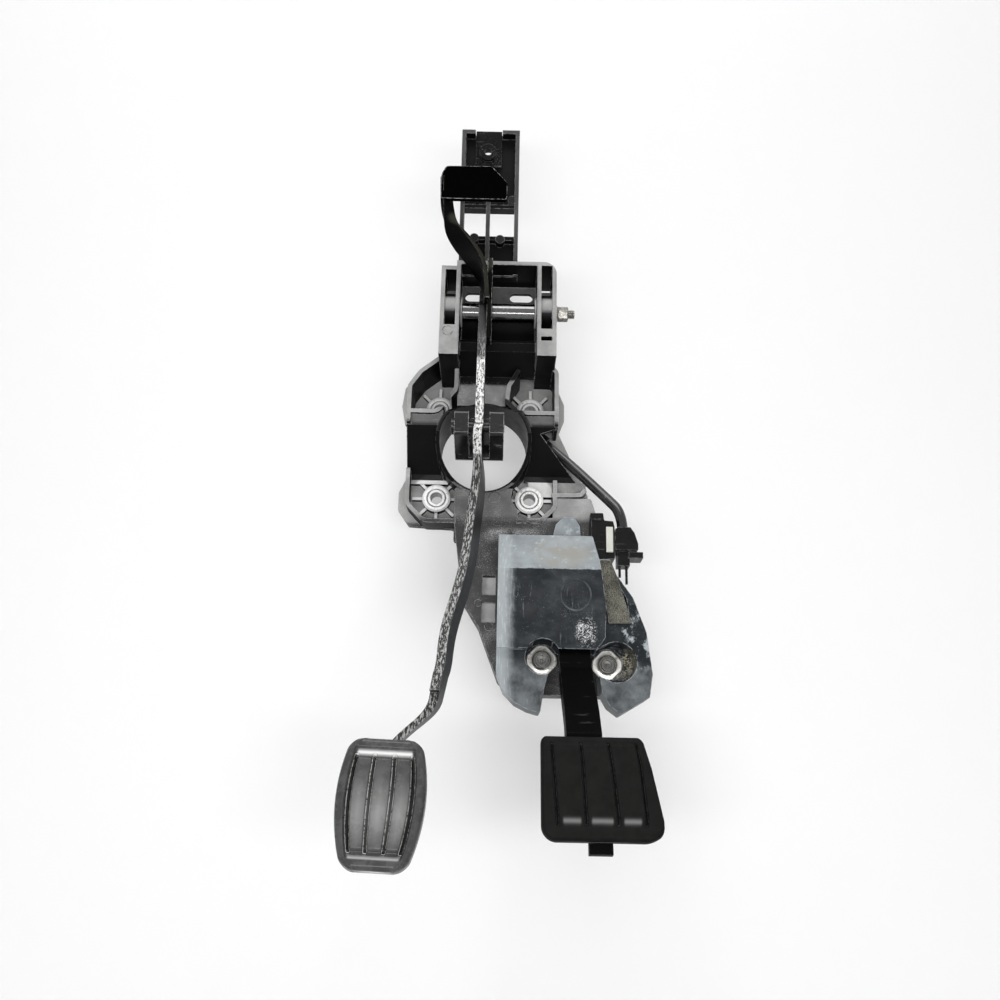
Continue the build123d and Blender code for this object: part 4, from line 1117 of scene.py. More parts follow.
def dress_nodes(finish: Finish, *nodes: str) -> None:
    """Puts one finish on nodes of the CAD that keep their own shape.

    Args:
        finish: the finish.
        nodes: the nodes' names.
    """
    material = finish.material()
    for node in nodes:
        dress(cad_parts[node], material)


def relief_attributes(piece: bpy.types.Object, relief: np.ndarray, polish_and_highlight: np.ndarray) -> None:
    """Writes two values per point onto a pad, for its rubber. The poles at its two ends get 1.

    Args:
        piece: the pad.
        relief: how high each point of each ring stands, from 0 in a groove to 1 on a bar.
        polish_and_highlight: how pale each is made, from 0 to 1, by polish and, on the brake pad's bars, by a painted
            highlight.
    """
    for name, values in (("relief", relief), ("polish_and_highlight", polish_and_highlight)):
        padded = np.concatenate([values.ravel(), [1.0, 1.0]]).astype(np.float32)
        piece.data.attributes.new(name, "FLOAT", "POINT").data.foreach_set("value", padded)


# Sub-assemblies


@dataclass
class Studio:
    """The camera at the photograph's place, the pale floor and backdrop, and three soft lamps: front, low and top."""

    focal_mm: float = 34.81
    sensor_mm: float = 36.0
    camera_at: Point = (0.0134, -0.7245, -0.2652)
    pitch_deg: float = 107.7
    roll_deg: float = 1.2
    middle: Point = (0.0, -0.05, -0.02)
    floor_z: float = -0.450
    backdrop_y: float = 0.045
    lamps: tuple[tuple[str, Point, Span, float], ...] = (
        ("front_lamp", (-0.15, -1.20, 1.45), (1.6, 0.8), 23.0),
        ("low_lamp", (0.0, -1.0, -0.355), (0.9, 0.12), 5.5),
        ("top_lamp", (0.1, -0.35, 1.5), (1.2, 0.8), 3.0))
    world_level: float = 0.08
    paper_glow: float = 0.35
    floor_glow: float = 0.65

    def camera(self) -> None:
        """Sets the camera: pitched up about X, then rolled about its own line of sight."""
        data = bpy.data.cameras.new("camera")
        data.lens = self.focal_mm
        data.sensor_width = self.sensor_mm
        data.clip_start = 0.01
        eye = placed("camera", data)
        pitch = Euler((math.radians(self.pitch_deg), 0.0, 0.0)).to_matrix()
        turn = pitch @ Matrix.Rotation(math.radians(self.roll_deg), 3, "Z")
        eye.matrix_world = Matrix.Translation(Vector(self.camera_at)) @ turn.to_4x4()
        bpy.context.scene.camera = eye

    def lamp(self, name: str, place: Point, size: Span, power: float) -> None:
        """Adds a soft rectangular lamp that looks at the object's middle.

        Args:
            name: the lamp's name.
            place: where it stands, in metres.
            size: its width and height in metres.
            power: its power in watts.
        """
        data = bpy.data.lights.new(name, "AREA")
        data.shape = "RECTANGLE"
        data.size, data.size_y = size
        data.energy = power
        lamp = placed(name, data)
        lamp.location = place
        aim = Vector(self.middle) - Vector(place)
        lamp.rotation_euler = aim.to_track_quat("-Z", "Y").to_euler()

    def sheet(self, name: str, corners: list[Point], finish: Paper) -> None:
        """Adds one flat sheet of the stage, facing the way its corners turn.

        Args:
            name: the sheet's name.
            corners: its four corners in metres.
            finish: what it is made of.
        """
        mesh = bpy.data.meshes.new(name)
        mesh.from_pydata(corners, [], [(0, 1, 2, 3)])
        piece = placed(name, mesh)
        dress(piece, finish.material())

    def build(self) -> None:
        """Builds the stage."""
        self.camera()
        wide, near, far, high = 3.0, -4.0, 3.0, 2.4
        y, z = self.backdrop_y, self.floor_z
        self.sheet("floor", [(-wide, near, z), (wide, near, z), (wide, far, z), (-wide, far, z)],
                   Paper("pale_floor", grey(0.70), self.floor_glow))
        self.sheet("backdrop", [(-wide, y, z), (wide, y, z), (wide, y, high), (-wide, y, high)],
                   Paper("pale_backdrop", grey(0.98), self.paper_glow, one_sided=True))
        for lamp in self.lamps:
            self.lamp(*lamp)
        world = bpy.data.worlds.new("studio_air")
        world.use_nodes = True
        air = Graph(world.node_tree)
        background = world.node_tree.nodes["Background"]
        strength = air.line(air.seen(), 1.0 - self.world_level, self.world_level)
        air.fill(background, {"Color": grey(1.0), "Strength": strength})
        bpy.context.scene.world = world


@dataclass
class SensorLead:
    """The lead from the module's plug, up behind the bracket's right web, to its end connector."""

    diameter: float = 0.008
    length: float = 0.1027
    route: tuple[Point, ...] = (
        (0.105, -0.0335, -0.070), (0.105, -0.0335, -0.0535), (0.0935, -0.027, -0.039), (0.063, -0.0128, -0.0035),
        (0.0485, -0.0128, 0.008))

    def build(self) -> None:
        """Makes the lead as one NURBS curve with the route's points as its control points."""
        curve = bpy.data.curves.new("sensor_lead_run", "CURVE")
        curve.dimensions = "3D"
        curve.bevel_depth = self.diameter / 2.0
        curve.bevel_resolution = 8
        curve.resolution_u = 24
        curve.use_fill_caps = True
        spline = curve.splines.new("NURBS")
        spline.points.add(len(self.route) - 1)
        for point, place in zip(spline.points, self.route):
            point.co = (*place, 1.0)
        spline.order_u = 3
        spline.use_endpoint_u = True
        piece = placed("sensor_lead_run", curve)
        piece.data.materials.append(LeadSheath("lead_sheath").material())
        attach(piece, Body.BRACKET.value)
        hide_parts("sensor_lead")
        log.info("sensor lead: %d route points", len(self.route))


@dataclass
class PedalPad:
    """A rubber pad as rings of points: each ring is the pad's section at one height, front, sides and back."""

    name: str
    place: Point
    tilt_deg: float
    roll_deg: float
    thick: float
    rows: int = 150
    front_steps: int = 220
    side_steps: int = 8
    back_steps: int = 10
    shoulder_r: float = 3.0
    side_high: float = 0.75

    def edges(self, y: np.ndarray) -> tuple[np.ndarray, np.ndarray]:
        """The left and right edge at each height. The pads say how theirs run."""
        raise NotImplementedError

    def heights(self) -> np.ndarray:
        """The rows' heights, closer together near both ends."""
        raise NotImplementedError

    def relief(self, s: np.ndarray, y: np.ndarray) -> tuple[np.ndarray, np.ndarray, np.ndarray]:
        """How far the front stands over the pad's nominal face, how pale its polish and painted highlight make it, and
        how deep it lies.

        Args:
            s: how far across each point is, from -1 at the left edge to 1 at the right.
            y: its height.

        Returns:
            The lift in millimetres, the polish with its painted highlight and the depth, each from 0 to 1.
        """
        raise NotImplementedError

    def build(self) -> bpy.types.Object:
        """Builds the pad.

        A ring runs across the front as x = left + (s + 1) / 2 (right - left) with the relief added to the
        thickness, down the right side with a rounded shoulder, and back across the flat back.

        Returns:
            The pad, in place, with its relief stored on its points.
        """
        y = self.heights()
        left, right = self.edges(y)
        s = np.linspace(-1.0, 1.0, self.front_steps)
        grid_s, grid_y = np.meshgrid(s, y)
        x = left[:, None] + (grid_s + 1.0) / 2.0 * (right - left)[:, None]
        lift, polish_and_highlight, groove = self.relief(grid_s, grid_y)
        gaps = [x - left[:, None], right[:, None] - x, grid_y - y[0], y[-1] - grid_y]
        into = np.clip(self.shoulder_r - np.minimum.reduce(gaps), 0.0, self.shoulder_r)
        drop = self.shoulder_r - np.sqrt(np.clip(self.shoulder_r ** 2 - into ** 2, 0.0, None))
        front = np.stack([x, grid_y, self.thick + lift - drop], -1)
        back_s = np.linspace(1.0, -1.0, self.back_steps)
        back_x = left[:, None] + (back_s[None] + 1.0) / 2.0 * (right - left)[:, None]
        back = np.stack([back_x, np.repeat(y[:, None], self.back_steps, 1), np.zeros_like(back_x)], -1)
        share = np.linspace(0.0, 1.0, self.side_steps + 2)[1:-1][None, :, None]
        right_side = front[:, -1:, :] * (1 - share) + back[:, :1, :] * share
        left_side = back[:, -1:, :] * (1 - share) + front[:, :1, :] * share
        local = np.concatenate([front, right_side, back, left_side], 1)
        rings = driver(tilted(local.reshape(-1, 3), self.place, self.tilt_deg, self.roll_deg)).reshape(local.shape)
        piece = tube_piece(self.name, rings, 50.0)
        behind = (len(y), local.shape[1] - self.front_steps)
        relief_attributes(piece, np.concatenate([1.0 - groove, np.full(behind, self.side_high)], 1),
                          np.concatenate([polish_and_highlight, np.zeros(behind)], 1))
        return piece


def end_rows(low: float, high: float, rows: int, corner: float) -> np.ndarray:
    """Row heights from low to high, with a sixth of them spent in the rounded corners at each end.

    Args:
        low: the lowest row.
        high: the highest row.
        rows: how many rows there are.
        corner: the corners' radius.

    Returns:
        The heights, lowest first.
    """
    few = rows // 6
    turn = np.linspace(0.0, math.pi / 2.0, few)
    foot = low + corner * (1.0 - np.cos(turn))
    top = high - corner * (1.0 - np.cos(turn[::-1]))
    middle = np.linspace(low + corner, high - corner, rows - 2 * few + 2)[1:-1]
    return np.concatenate([foot, middle, top])


def corner_pull(y: np.ndarray, low: float, high: float, corner: float) -> np.ndarray:
    """How far a rounded corner draws the edge in: corner minus the circle's half chord at that height."""
    over = np.clip(corner - np.minimum(y - low, high - y), 0.0, corner)
    return corner - np.sqrt(np.clip(corner ** 2 - over ** 2, 0.0, None))


@dataclass
class BrakePad(PedalPad):
    """The barrel-shaped brake pad: a raised rim, a sunk panel and three crowned bars between four grooves."""

    half_h: float = 36.5
    half_mid: float = 25.5
    half_top: float = 20.5
    half_foot: float = 17.5
    corner: float = 7.0
    grooves: tuple[float, ...] = (-0.69, -0.245, 0.245, 0.69)
    groove_w: float = 0.075
    groove_cut: float = 2.3
    panel: Span = (-30.0, 30.5)
    panel_sunk: float = 1.3
    bar_rise: float = 1.7
    rim_s: float = 0.80
    rim_fall: float = 1.2

    def heights(self) -> np.ndarray:
        """Row heights from the foot to the top."""
        return end_rows(-self.half_h, self.half_h, self.rows, self.corner)

    def edges(self, y: np.ndarray) -> tuple[np.ndarray, np.ndarray]:
        """Each edge is a parabola through its foot, middle and top half widths, drawn in at the corners.

        Args:
            y: the heights.

        Returns:
            The left and the right edge.
        """
        t = y / self.half_h
        half = self.half_mid + (self.half_top - self.half_foot) / 2.0 * t
        half += ((self.half_top + self.half_foot) / 2.0 - self.half_mid) * t ** 2
        half -= corner_pull(y, -self.half_h, self.half_h, self.corner)
        return -half, half

    def relief(self, s: np.ndarray, y: np.ndarray) -> tuple[np.ndarray, np.ndarray, np.ndarray]:
        """The panel is sunk by 1.3, the bars crown up from it by 1.7, the grooves cut 2.3 and the rim falls by 1.2.

        Args:
            s: how far across each point is, from -1 to 1.
            y: its height.

        Returns:
            The lift, the polish with its painted highlight, and the depth.
        """
        foot, top = self.panel
        inside = smooth_step(y, foot - 1.0, foot + 1.0) * smooth_step(-y, -top - 1.0, -top + 1.0)
        inside *= smooth_step(-np.abs(s), -self.rim_s, -self.rim_s + 0.05)
        bar_rows = smooth_step(y, foot + 3.0, foot + 5.0) * smooth_step(-y, -top + 4.5, -top + 6.5)
        bar = smooth_step(-np.abs(s), -0.70, -0.64) * bar_rows
        nearest = np.min(np.abs(s[..., None] - np.array(self.grooves)), -1)
        crown = np.sqrt(np.clip(nearest / 0.24, 0.0, 1.0))
        groove = smooth_step(-nearest, -self.groove_w, -self.groove_w * 0.35)
        groove *= smooth_step(y, foot + 1.5, foot + 3.5) * smooth_step(-y, -top + 2.5, -top + 4.5)
        rim = np.clip((np.abs(s) - self.rim_s) / 0.2, 0.0, 1.0)
        lift = -self.panel_sunk * inside + self.bar_rise * bar * (0.45 + 0.55 * crown)
        lift = lift - self.groove_cut * groove - self.rim_fall * rim ** 2
        lift += 0.5 * np.exp(-((np.abs(s) - self.rim_s) / 0.05) ** 2)
        band = np.exp(-((y - top + 2.6) / 1.3) ** 2) * smooth_step(-np.abs(s), -0.72, -0.66)
        lip = np.exp(-((y - foot + 0.2) / 0.7) ** 2) * smooth_step(-np.abs(s), -0.74, -0.68) * 0.5
        # A painted highlight down the middle of the bars.
        middle = np.exp(-((y + 6.0) / 15.0) ** 2) * bar * crown * 0.25
        wall_line = inside * (1.0 - bar)
        return lift, np.clip(band + lip + middle, 0.0, 1.0), np.clip(groove + 0.22 * wall_line + 0.24 * rim, 0.0, 1.0)


@dataclass
class AcceleratorPad(PedalPad):
    """The wide accelerator pad: a slanted right edge and three broad bars with pale worn ends."""

    low: float = -30.5
    high: float = 30.5
    top_corner: float = 4.0
    foot_corner: float = 9.0
    right_edge: tuple[Span, ...] = ((-30.5, 34.5), (-27.0, 37.0), (-18.0, 37.0), (12.0, 31.5), (30.5, 26.5))
    left_edge: tuple[Span, ...] = ((-30.5, -34.6), (-20.0, -34.8), (30.5, -35.0))
    bar_rise: float = 0.9
    groove_cut: float = 1.4
    foot_fall: float = 0.6
    groove_top: tuple[float, ...] = (-0.80, -0.23, 0.30, 0.84)
    groove_foot: tuple[float, ...] = (-0.72, -0.28, 0.24, 0.68)

    def heights(self) -> np.ndarray:
        """Row heights from the foot to the top."""
        return end_rows(self.low, self.high, self.rows, self.foot_corner)

    def edges(self, y: np.ndarray) -> tuple[np.ndarray, np.ndarray]:
        """The right edge slants out towards the foot, the left one hardly; both round off at the ends.

        Args:
            y: the heights.

        Returns:
            The left and the right edge.
        """
        left, right = (np.interp(y, *zip(*edge)) for edge in (self.left_edge, self.right_edge))
        foot = corner_pull(y, self.low, 100.0, self.foot_corner)
        top = corner_pull(y, -100.0, self.high, self.top_corner)
        pull = np.where(y < 0, foot, top)
        return left + pull, right - pull

    def relief(self, s: np.ndarray, y: np.ndarray) -> tuple[np.ndarray, np.ndarray, np.ndarray]:
        """The bars rise 0.9 with crowned tops, the grooves between them cut 1.4, and the foot falls by 0.6.

        Args:
            s: how far across each point is, from -1 to 1.
            y: its height.

        Returns:
            The lift, the polish and the depth.
        """
        share = (y - self.low) / (self.high - self.low)
        lines = [f + (t - f) * share for t, f in zip(self.groove_top, self.groove_foot)]
        away = np.stack([s - line for line in lines], -1)
        nearest = np.min(np.abs(away), -1)
        rows = smooth_step(y, -22.5, -20.5) * smooth_step(-y, -26.0, -24.0)
        within = smooth_step(s - lines[0], -0.03, 0.03) * smooth_step(lines[3] - s, -0.03, 0.03)
        bar = rows * within
        crown = np.sqrt(np.clip(nearest / 0.22, 0.0, 1.0))
        groove = smooth_step(-nearest, -0.035, -0.012) * smooth_step(y, -23.0, -21.0) * smooth_step(-y, -27.0, -25.0)
        lift = self.bar_rise * bar * (0.5 + 0.5 * crown) - self.groove_cut * groove
        lift -= self.foot_fall * smooth_step(-y, 21.5, 24.5)
        ends = np.exp(-((y + 19.6) / 1.5) ** 2) * within * smooth_step(nearest, 0.07, 0.11)
        return lift, np.clip(ends, 0.0, 1.0), groove


@dataclass
class UpperLever:
    """The brake's upper lever: a flat tab, a strap that twists down from its left end, and a foot on the hub."""

    left: tuple[Point, ...] = (
        (-36.5, 198.4, 90.0), (-36.1, 185.8, 90.0), (-35.6, 174.0, 89.0), (-34.3, 164.4, 85.0), (-31.5, 153.6, 80.0),
        (-25.2, 144.6, 75.0), (-18.2, 137.6, 71.0), (-11.9, 129.9, 68.0), (-5.5, 120.2, 67.0), (-1.9, 110.8, 67.0),
        (-0.4, 101.3, 67.0))
    right: tuple[Point, ...] = (
        (-31.3, 195.7, 84.0), (-29.6, 189.1, 83.0), (-28.2, 177.3, 82.0), (-24.8, 164.4, 84.0), (-19.0, 153.1, 88.0),
        (-12.5, 142.9, 90.5), (-6.2, 132.4, 91.0), (-2.3, 123.1, 91.0), (-0.8, 113.8, 91.0), (0.0, 104.6, 91.0),
        (0.7, 93.8, 91.0))
    tab: tuple[Span, ...] = (
        (-36.9, 177.8), (-37.2, 190.0), (-37.0, 200.0), (-33.5, 207.5), (2.0, 207.7), (14.3, 193.0), (14.2, 177.8))
    foot: tuple[Span, ...] = (
        (38, 117), (52, 122), (67, 128), (91, 128), (91, 116), (84, 98), (79, 66), (67, 66), (62, 84), (41, 91))
    thick: float = 4.0
    front_h: float = 91.0
    foot_x: float = 0.4
    steps: int = 150
    bluntness: float = 0.22

    def strap(self) -> bpy.types.Object:
        """The strap: at each step a section with rounded corners spans its two edges.

        The section is a superellipse whose long axis runs from the left edge to the right one, and whose short
        axis is the cross product of that and the strap's own direction.

        Returns:
            The strap.
        """
        left, right = smooth_line(self.left, self.steps), smooth_line(self.right, self.steps)
        middle, across = (left + right) / 2.0, (right - left) / 2.0
        out = np.cross(np.gradient(middle, axis=0), across)
        out *= self.thick / 2.0 / np.linalg.norm(out, axis=1, keepdims=True)
        angle = np.linspace(0.0, 2.0 * math.pi, 56, endpoint=False)[None, :, None]
        wide = np.sign(np.cos(angle)) * np.abs(np.cos(angle)) ** self.bluntness
        deep = np.sign(np.sin(angle)) * np.abs(np.sin(angle)) ** self.bluntness
        return tube_piece("lever_strap", driver(middle[:, None] + wide * across[:, None] + deep * out[:, None]), 40.0)

    def build(self, material: bpy.types.Material, shaded_tab_material: bpy.types.Material) -> None:
        """Builds the three pieces: the tab in a blacker copy of the strap's steel, which is painted shade, the other
        two in the strap's.

        Args:
            material: the strap's and the foot's.
            shaded_tab_material: the tab's, a copy darkened with painted shade.
        """
        tab = driver(slab(softened(self.tab, 2.4), self.front_h - self.thick, self.front_h, 0.5))
        foot = slab(softened(self.foot, 3.0), self.foot_x, self.foot_x + self.thick, 0.4)[..., [2, 1, 0]]
        for piece, finish in ((self.strap(), material), (tube_piece("lever_tab", tab), shaded_tab_material),
                              (tube_piece("lever_foot", driver(foot)), material)):
            dress(piece, finish)
            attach(piece, Body.BRAKE.value)
            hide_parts("brake_upper_lever")
        log.info("upper lever built")


@dataclass
class BrakePedal:
    """The pads and steel of the brake pedal."""

    def build(self) -> None:
        """Replaces the pad and dresses the steel."""
        pad = BrakePad("brake_pad_rubber", (-50.5, -265.0, 150.0), -14.0, -2.0, 8.6).build()
        rubber = Rubber("brake_pad_rubber", high=grey(0.072), low=grey(0.005), roughness=0.26, polish_and_highlight=1.0, shine=0.26)
        dress(pad, rubber.material())
        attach(pad, Body.BRAKE.value)
        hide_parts("brake_pad")
        # The strap's olive dull is painted light on the faces that face the driver; the tab's blacker copy of the same
        # steel is painted shade.
        unworn = {"bright_low": 1.0, "bright_high": 1.1, "level_dull": 0.9}
        strap = WornSteel("strap_steel", paint=grey(0.003), dull=(0.060, 0.058, 0.045), edge_amount=1.0, shine=0.02,
                          worn_top=0.235, **unworn)
        tab = WornSteel("tab_steel_painted_shade", paint=grey(0.0015), dull=grey(0.004), edge_amount=1.0, shine=0.0, **unworn)
        UpperLever().build(strap.material(), tab.material())
        dress_nodes(WornSteel("worn_arm_steel"), "brake_arm")
        dress_nodes(WornSteel("pad_plate_steel", **unworn), "brake_pad_plate")
        dress_nodes(PlatedSteel("hub_gloss", bright=grey(0.12), stain=grey(0.11), roughness=0.12), "brake_hub_tube")
        dress_nodes(MouldedPlastic("bush_plastic", base=(0.35, 0.35, 0.34), dusty_lit_grey=grey(0.6), dust_and_light=0.4, roughness=0.4),
                    "brake_bushes")
        dress_nodes(PlatedSteel("pin_steel", bright=grey(0.03), stain=grey(0.01)), "pushrod_pin")
        dress_nodes(MouldedPlastic("clip_plastic", base=grey(0.005), dusty_lit_grey=grey(0.03), dust_and_light=0.3, roughness=0.12,
                                   shine=0.35, edge_amount=1.0), "pushrod_clip")
        log.info("brake pedal: pad and lever replaced, 6 nodes dressed")


@dataclass
class AcceleratorPedal:
    """The pad and the plastic arm of the accelerator."""

    def build(self) -> None:
        """Replaces the pad and dresses the arm."""
        pad = AcceleratorPad("accelerator_pad_rubber", (76.0, -253.5, 124.0), -12.0, 0.0, 7.4).build()
        rubber = Rubber("accelerator_rubber", high=(0.011, 0.011, 0.0105), low=grey(0.002), grit_amount=0.05,
                        roughness=0.6, polish_and_highlight=0.2, shine=0.05)
        dress(pad, rubber.material())
        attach(pad, Body.ACCELERATOR.value)
        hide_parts("accel_pad")
        dress_nodes(MouldedPlastic("arm_plastic", base=grey(0.003), dusty_lit_grey=grey(0.005), dust_and_light=0.4, edge_amount=0.04,
                                   speck_level=0.9, roughness=0.40, shine=0.01), "accel_arm")
        dress_nodes(MouldedPlastic("inner_plastic", base=(0.3, 0.3, 0.28), dusty_lit_grey=(0.45, 0.45, 0.43), dust_and_light=0.2,
                                   roughness=0.5), "magnet_rotor", "friction_shoe")
        log.info("accelerator pedal: pad replaced, 3 nodes dressed")


@dataclass
class PivotFastener:
    """The nut and the bolt's thread at the right end of the brake pedal's pivot."""

    y: float = 103.0
    h: float = 50.0
    seat_x: float = 53.6
    lip_r: float = 6.6
    lip_t: float = 1.8
    hex_af: float = 10.0
    hex_top: float = 63.4
    thread_r: float = 3.0
    thread_end: float = 68.4
    crest: float = 0.38
    pitch: float = 1.0

    def nut(self) -> bpy.types.Object:
        """A flanged hexagon nut turned about the pivot: flange, six sides with chamfered corners, and a bore.

        Returns:
            The nut.
        """
        corner = self.hex_af / 2.0 / math.cos(math.pi / 6.0)
        lip, top = self.lip_t, self.hex_top - self.seat_x
        bore = self.thread_r + 0.05
        profile = [(bore, 0.0), (self.lip_r - 0.3, 0.0), (self.lip_r, 0.3), (self.lip_r, lip * 0.5),
                   (self.lip_r - 0.9, lip), (corner - 0.35, lip + 0.05), (corner, lip + 0.5), (corner, top - 0.8),
                   (corner - 0.6, top - 0.05), (bore + 1.1, top), (bore + 0.4, top), (bore, top - 0.5)]
        rings = turned(profile, (self.seat_x, self.y, self.h), (1, 0, 0), 96, 6, (5, 6, 7, 8))
        return tube_piece("pivot_nut_flanged", rings, 28.0, loop=True)

    def thread(self) -> bpy.types.Object:
        """The screw's thread past the nut: the bolt's radius plus a crest that follows the cosine of height and turn.

        It is a thin sleeve on the bolt's end. Its outer rows carry the crests, and two inner rows close it.

        Returns:
            The thread.
        """
        start, end = self.hex_top - 0.3, self.thread_end - 0.15
        rows = np.concatenate([np.linspace(start, end, 60), [end, start]])
        angle = np.linspace(0.0, 2.0 * math.pi, 48, endpoint=False)
        height, turn = np.meshgrid(rows, angle, indexing="ij")
        crest = 0.5 + 0.5 * np.cos(2.0 * math.pi * height / self.pitch - turn)
        crest *= smooth_step(end - height, 0.0, 0.7)
        radius = self.thread_r + 0.03 + self.crest * crest
        radius[-2:] = self.thread_r - 0.2
        points = np.stack([height, self.y + radius * np.cos(turn), self.h + radius * np.sin(turn)], -1)
        return tube_piece("pivot_thread", driver(points), 60.0, loop=True)

    def build(self) -> None:
        """Builds both pieces."""
        zinc = PlatedSteel("nut_zinc", bright=(0.20, 0.195, 0.18), stain=(0.06, 0.055, 0.04), roughness=0.25,
                           stain_low=0.42).material()
        nut, thread = self.nut(), self.thread()
        for piece in (nut, thread):
            dress(piece, zinc)
            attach(piece, Body.BRACKET.value)
        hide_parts("pivot_nut")
        log.info("pivot nut and thread built")


@dataclass
class ModuleBolts:
    """The two flanged bolts of the accelerator module, with a socket and a ring on each head."""

    places: tuple[Span, ...] = ((45.5, -163.5), (92.5, -166.0))
    seat_h: float = 28.0
    foot_h: float = 12.0
    lip_r: float = 11.0
    lip_t: float = 1.8
    head_r: float = 6.6
    head_t: float = 5.4
    shank_r: float = 3.0
    socket_r: float = 3.2
    corner_cut: float = 1.28

    def bolt(self, name: str, x: float, y: float) -> bpy.types.Object:
        """One bolt turned about its own axis, from the shank's foot to the stub in its socket.

        Args:
            name: the piece's name.
            x: its axis across, in the driver's view.
            y: its axis up, in the driver's view.

        Returns:
            The bolt, whose washer rows are four-sided with corners cut by a circle.
        """
        seat = self.seat_h - self.foot_h
        lip, top = seat + self.lip_t, seat + self.head_t
        profile = [(self.shank_r - 0.6, 0.0), (self.shank_r, 0.6), (self.shank_r, seat), (self.lip_r - 0.4, seat),
                   (self.lip_r, seat + 0.4), (self.lip_r, seat + 1.3), (self.lip_r - 0.7, lip),
                   (self.head_r + 1.2, lip), (self.head_r + 0.2, lip + 0.4), (self.head_r, lip + 0.9),
                   (self.head_r, top - 0.8), (self.head_r - 0.7, top), (5.4, top), (5.2, top - 1.5), (4.6, top - 1.5),
                   (4.4, top - 0.05), (self.socket_r, top - 0.1), (self.socket_r, top - 2.8), (1.0, top - 3.0),
                   (0.8, top - 1.8), (0.3, top - 1.7)]
        radii = turned(profile, (0, 0, 0), (0, 0, 1), 96)
        square = turned(profile, (0, 0, 0), (0, 0, 1), 96, 4, (3, 4, 5, 6))
        reach = np.linalg.norm(square[..., [0, 2]], axis=-1, keepdims=True)
        plain = np.linalg.norm(radii[..., [0, 2]], axis=-1, keepdims=True)
        shape = np.where(plain > 0, np.minimum(reach * self.corner_cut, plain) / np.maximum(plain, 1e-9), 1.0)
        rings = radii * np.concatenate([shape, np.ones_like(shape), shape], -1)
        return tube_piece(name, rings + driver(np.array([x, y, self.foot_h])), 28.0)

    def build(self) -> None:
        """Builds both bolts."""
        zinc = PlatedSteel("bolt_zinc", bright=(0.66, 0.65, 0.62), stain=(0.16, 0.145, 0.11), roughness=0.3,
                           stain_low=0.50, metallic=0.6,
                           dark_disc_at=tuple((x / 1000, y / 1000) for x, y in self.places)).material()
        for side, (x, y) in zip(("left", "right"), self.places):
            piece = self.bolt(f"module_bolt_{side}", x, y)
            dress(piece, zinc)
            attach(piece, Body.BRACKET.value)
            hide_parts("accel_mount_bolts")
        log.info("module bolts built")


@dataclass
class ReturnSprings:
    """The accelerator's two coil springs; the real ones shorten as the pedal goes down, these keep one length."""

    across: Span = (62.4, 73.6)
    foot_y: float = -112.7
    top_y: float = -78.7
    h: float = 29.8
    coil_r: float = 3.45
    wire_r: float = 0.55
    turns: float = 8.0
    steps: int = 420
    end_close: float = 0.62

    def build(self) -> None:
        """A helix: x = r cos(angle), h = r sin(angle), with close turns at both ends and open ones between."""
        steel = PlatedSteel("spring_wire", bright=grey(0.5), roughness=0.3).material()
        for side, x in zip(("left", "right"), self.across):
            t = np.linspace(0.0, 1.0, self.steps)
            angle = 2.0 * math.pi * self.turns * t
            rise = t - self.end_close * np.sin(2.0 * math.pi * t) / (2.0 * math.pi)
            span = self.top_y - self.foot_y - 2 * self.wire_r
            path = np.stack([x + self.coil_r * np.cos(angle), self.foot_y + self.wire_r + span * rise,
                             self.h + self.coil_r * np.sin(angle)], -1)
            piece = tube_piece(f"return_spring_{side}", swept(driver(path), self.wire_r / 1000.0, 8), 80.0)
            dress(piece, steel)
            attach(piece, Body.BRACKET.value)
            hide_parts("accel_return_springs")
            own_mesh(piece)
        log.info("return springs built")


@dataclass
class AcceleratorModule:
    """The module's housing, lid, connectors and board."""

    def build(self) -> None:
        """Dresses ten of the module's nodes, and builds its bolts and springs."""
        dress_nodes(ModulePlastic("module_shell"), "accel_base", "accel_cover")
        dress_nodes(MouldedPlastic("lid_plastic", base=(0.012, 0.012, 0.009), dusty_lit_grey=(0.060, 0.060, 0.048),
                                   speck=(0.32, 0.31, 0.26), speck_level=0.50, dust_and_light=0.9, roughness=0.6,
                                   edge_amount=0.3, grain_depth=0.0016, grain_scale=520.0, shine=0.1, mottle=0.75),
                    "sensor_cover")
        dress_nodes(MouldedPlastic("socket_plastic", base=grey(0.004), dusty_lit_grey=grey(0.012), edge=(0.35, 0.35, 0.34),
                                   dust_and_light=0.4, edge_amount=0.6, speck_level=0.80, roughness=0.3, shine=0.12),
                    "sensor_socket", "sensor_plug", "lead_end_connector")
        dress_nodes(MouldedPlastic("lock_plastic", base=(0.45, 0.45, 0.40), dusty_lit_grey=(0.72, 0.72, 0.66), dust_and_light=0.8,
                                   roughness=0.4, edge_amount=0.1), "plug_lock")
        dress_nodes(MouldedPlastic("circuit_board", base=(0.01, 0.06, 0.03), dusty_lit_grey=(0.02, 0.09, 0.05), dust_and_light=0.2,
                                   roughness=0.3), "sensor_board")
        dress_nodes(PlatedSteel("captive_zinc"), "accel_captive_nuts", "accel_pivot_pin")
        ModuleBolts().build()
        ReturnSprings().build()
        log.info("accelerator module: 10 nodes dressed")


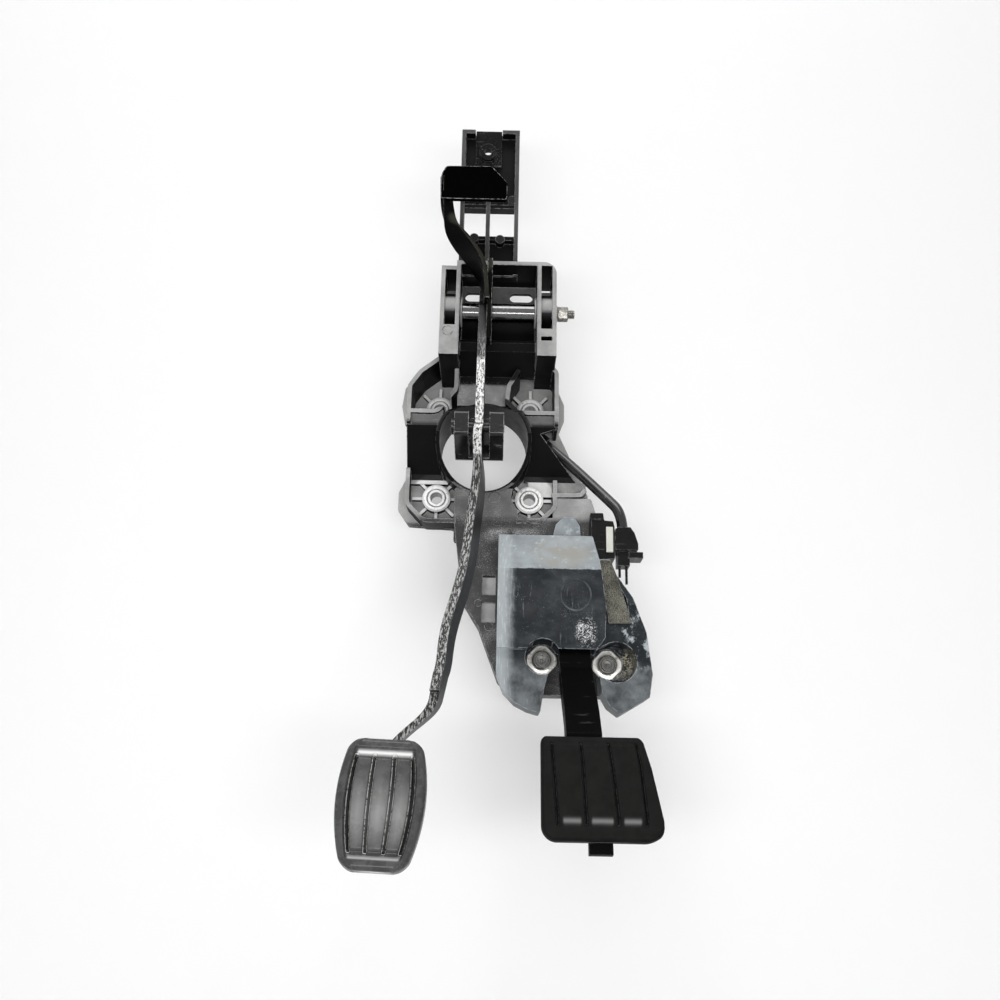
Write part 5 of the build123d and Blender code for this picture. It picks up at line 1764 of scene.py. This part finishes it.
@dataclass
class MountingSleeves:
    """The four flanged sleeves that line the stud holes, each with a groove round its raised inner lip."""

    across: float = 36.0
    up: float = 37.0
    bore: float = 4.5
    top: float = 11.5
    body_r: float = 6.4
    lip_r: float = 10.0

    def build(self) -> None:
        """Turns each sleeve as a closed loop: up the outside, over the grooved lip and down the bore."""
        top, bore, lip = self.top, self.bore, self.lip_r
        profile = [(bore, 0.1), (self.body_r, 0.1), (self.body_r, top - 1.2), (lip - 0.3, top - 1.2),
                   (lip, top - 0.9), (lip, top - 0.5), (lip - 0.3, top - 0.2), (7.7, top - 0.2), (7.4, top - 1.0),
                   (6.9, top - 1.0), (6.6, top), (bore + 0.4, top), (bore, top - 0.4)]
        places = [(x, y) for y in (self.up, -self.up) for x in (-self.across, self.across)]
        # The dark discs at the sleeves' middles are painted shade down the stud holes.
        steel = PlatedSteel("sleeve_steel", bright=(0.96, 0.96, 0.95), stain=(0.50, 0.50, 0.49), roughness=0.45,
                            stain_low=0.50, metallic=0.15, dark_disc_at=tuple((x / 1000, y / 1000) for x, y in places),
                            head_r=0.0046, dark_disc_level=1.0).material()
        for number, (x, y) in enumerate(places, 1):
            rings = turned(profile, (x, y, 0), (0, 0, 1), 72)
            piece = tube_piece(f"mounting_sleeve_{number}", rings, 28.0, loop=True)
            dress(piece, steel)
            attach(piece, Body.BRACKET.value)
            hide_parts("mounting_sleeves")
        log.info("mounting sleeves built")


@dataclass
class RoundMarks:
    """The bare rings that ejector pins and inserts leave on the mouldings: x, y, h and radius of each."""

    places: tuple[tuple[float, float, float, float], ...] = (
        (-29.0, 79.1, 66.0, 4.1), (9.1, -38.2, 20.0, 4.6), (-1.3, -120.7, 20.0, 2.8), (7.1, -138.1, 20.0, 3.4))
    thick: float = 0.55
    proud: float = 0.35

    def build(self, material: bpy.types.Material) -> None:
        """Turns each ring: a low bead whose foot is sunk in the face below it.

        Args:
            material: the bracket's own.
        """
        for number, (x, y, h, radius) in enumerate(self.places, 1):
            inner, outer = radius - self.thick, radius
            profile = [(inner, -0.4), (inner, self.proud * 0.6), (inner + 0.15, self.proud),
                       (outer - 0.15, self.proud), (outer, self.proud * 0.6), (outer, -0.4)]
            piece = tube_piece(f"round_mark_{number}", turned(profile, (x, y, h), (0, 0, 1), 48), 30.0, loop=True)
            dress(piece, material)
            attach(piece, Body.BRACKET.value)
        log.info("%d round marks built", len(self.places))


@dataclass
class Bracket:
    """The moulded bracket with its sleeves, pivot and clip nut."""

    def build(self) -> None:
        """Dresses the bracket's nodes and builds its pivot nut, sleeves and marks."""
        plastic = BracketPlastic().material()
        dress(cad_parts["pedal_bracket"], plastic)
        dress_nodes(PlatedSteel("pivot_steel", bright=(0.55, 0.55, 0.54), roughness=0.3), "pivot_bolt", "pivot_spacer")
        dress_nodes(MouldedPlastic("clip_nut_steel", base=grey(0.004), dusty_lit_grey=grey(0.012), dust_and_light=0.4, edge_amount=0.15,
                                   roughness=0.3, shine=0.05), "top_clip_nut")
        PivotFastener().build()
        MountingSleeves().build()
        RoundMarks().build(plastic)
        log.info("bracket: 4 nodes dressed")


def main() -> None:
    logging.basicConfig(level=logging.INFO, format="%(name)s: %(message)s")
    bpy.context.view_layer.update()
    bpy.context.scene.view_settings.view_transform = "Standard"
    EffectLibrary().build()
    Studio().build()
    SensorLead().build()
    for part in (Bracket(), BrakePedal(), AcceleratorPedal(), AcceleratorModule()):
        part.build()


if __name__ == "__main__":
    main()
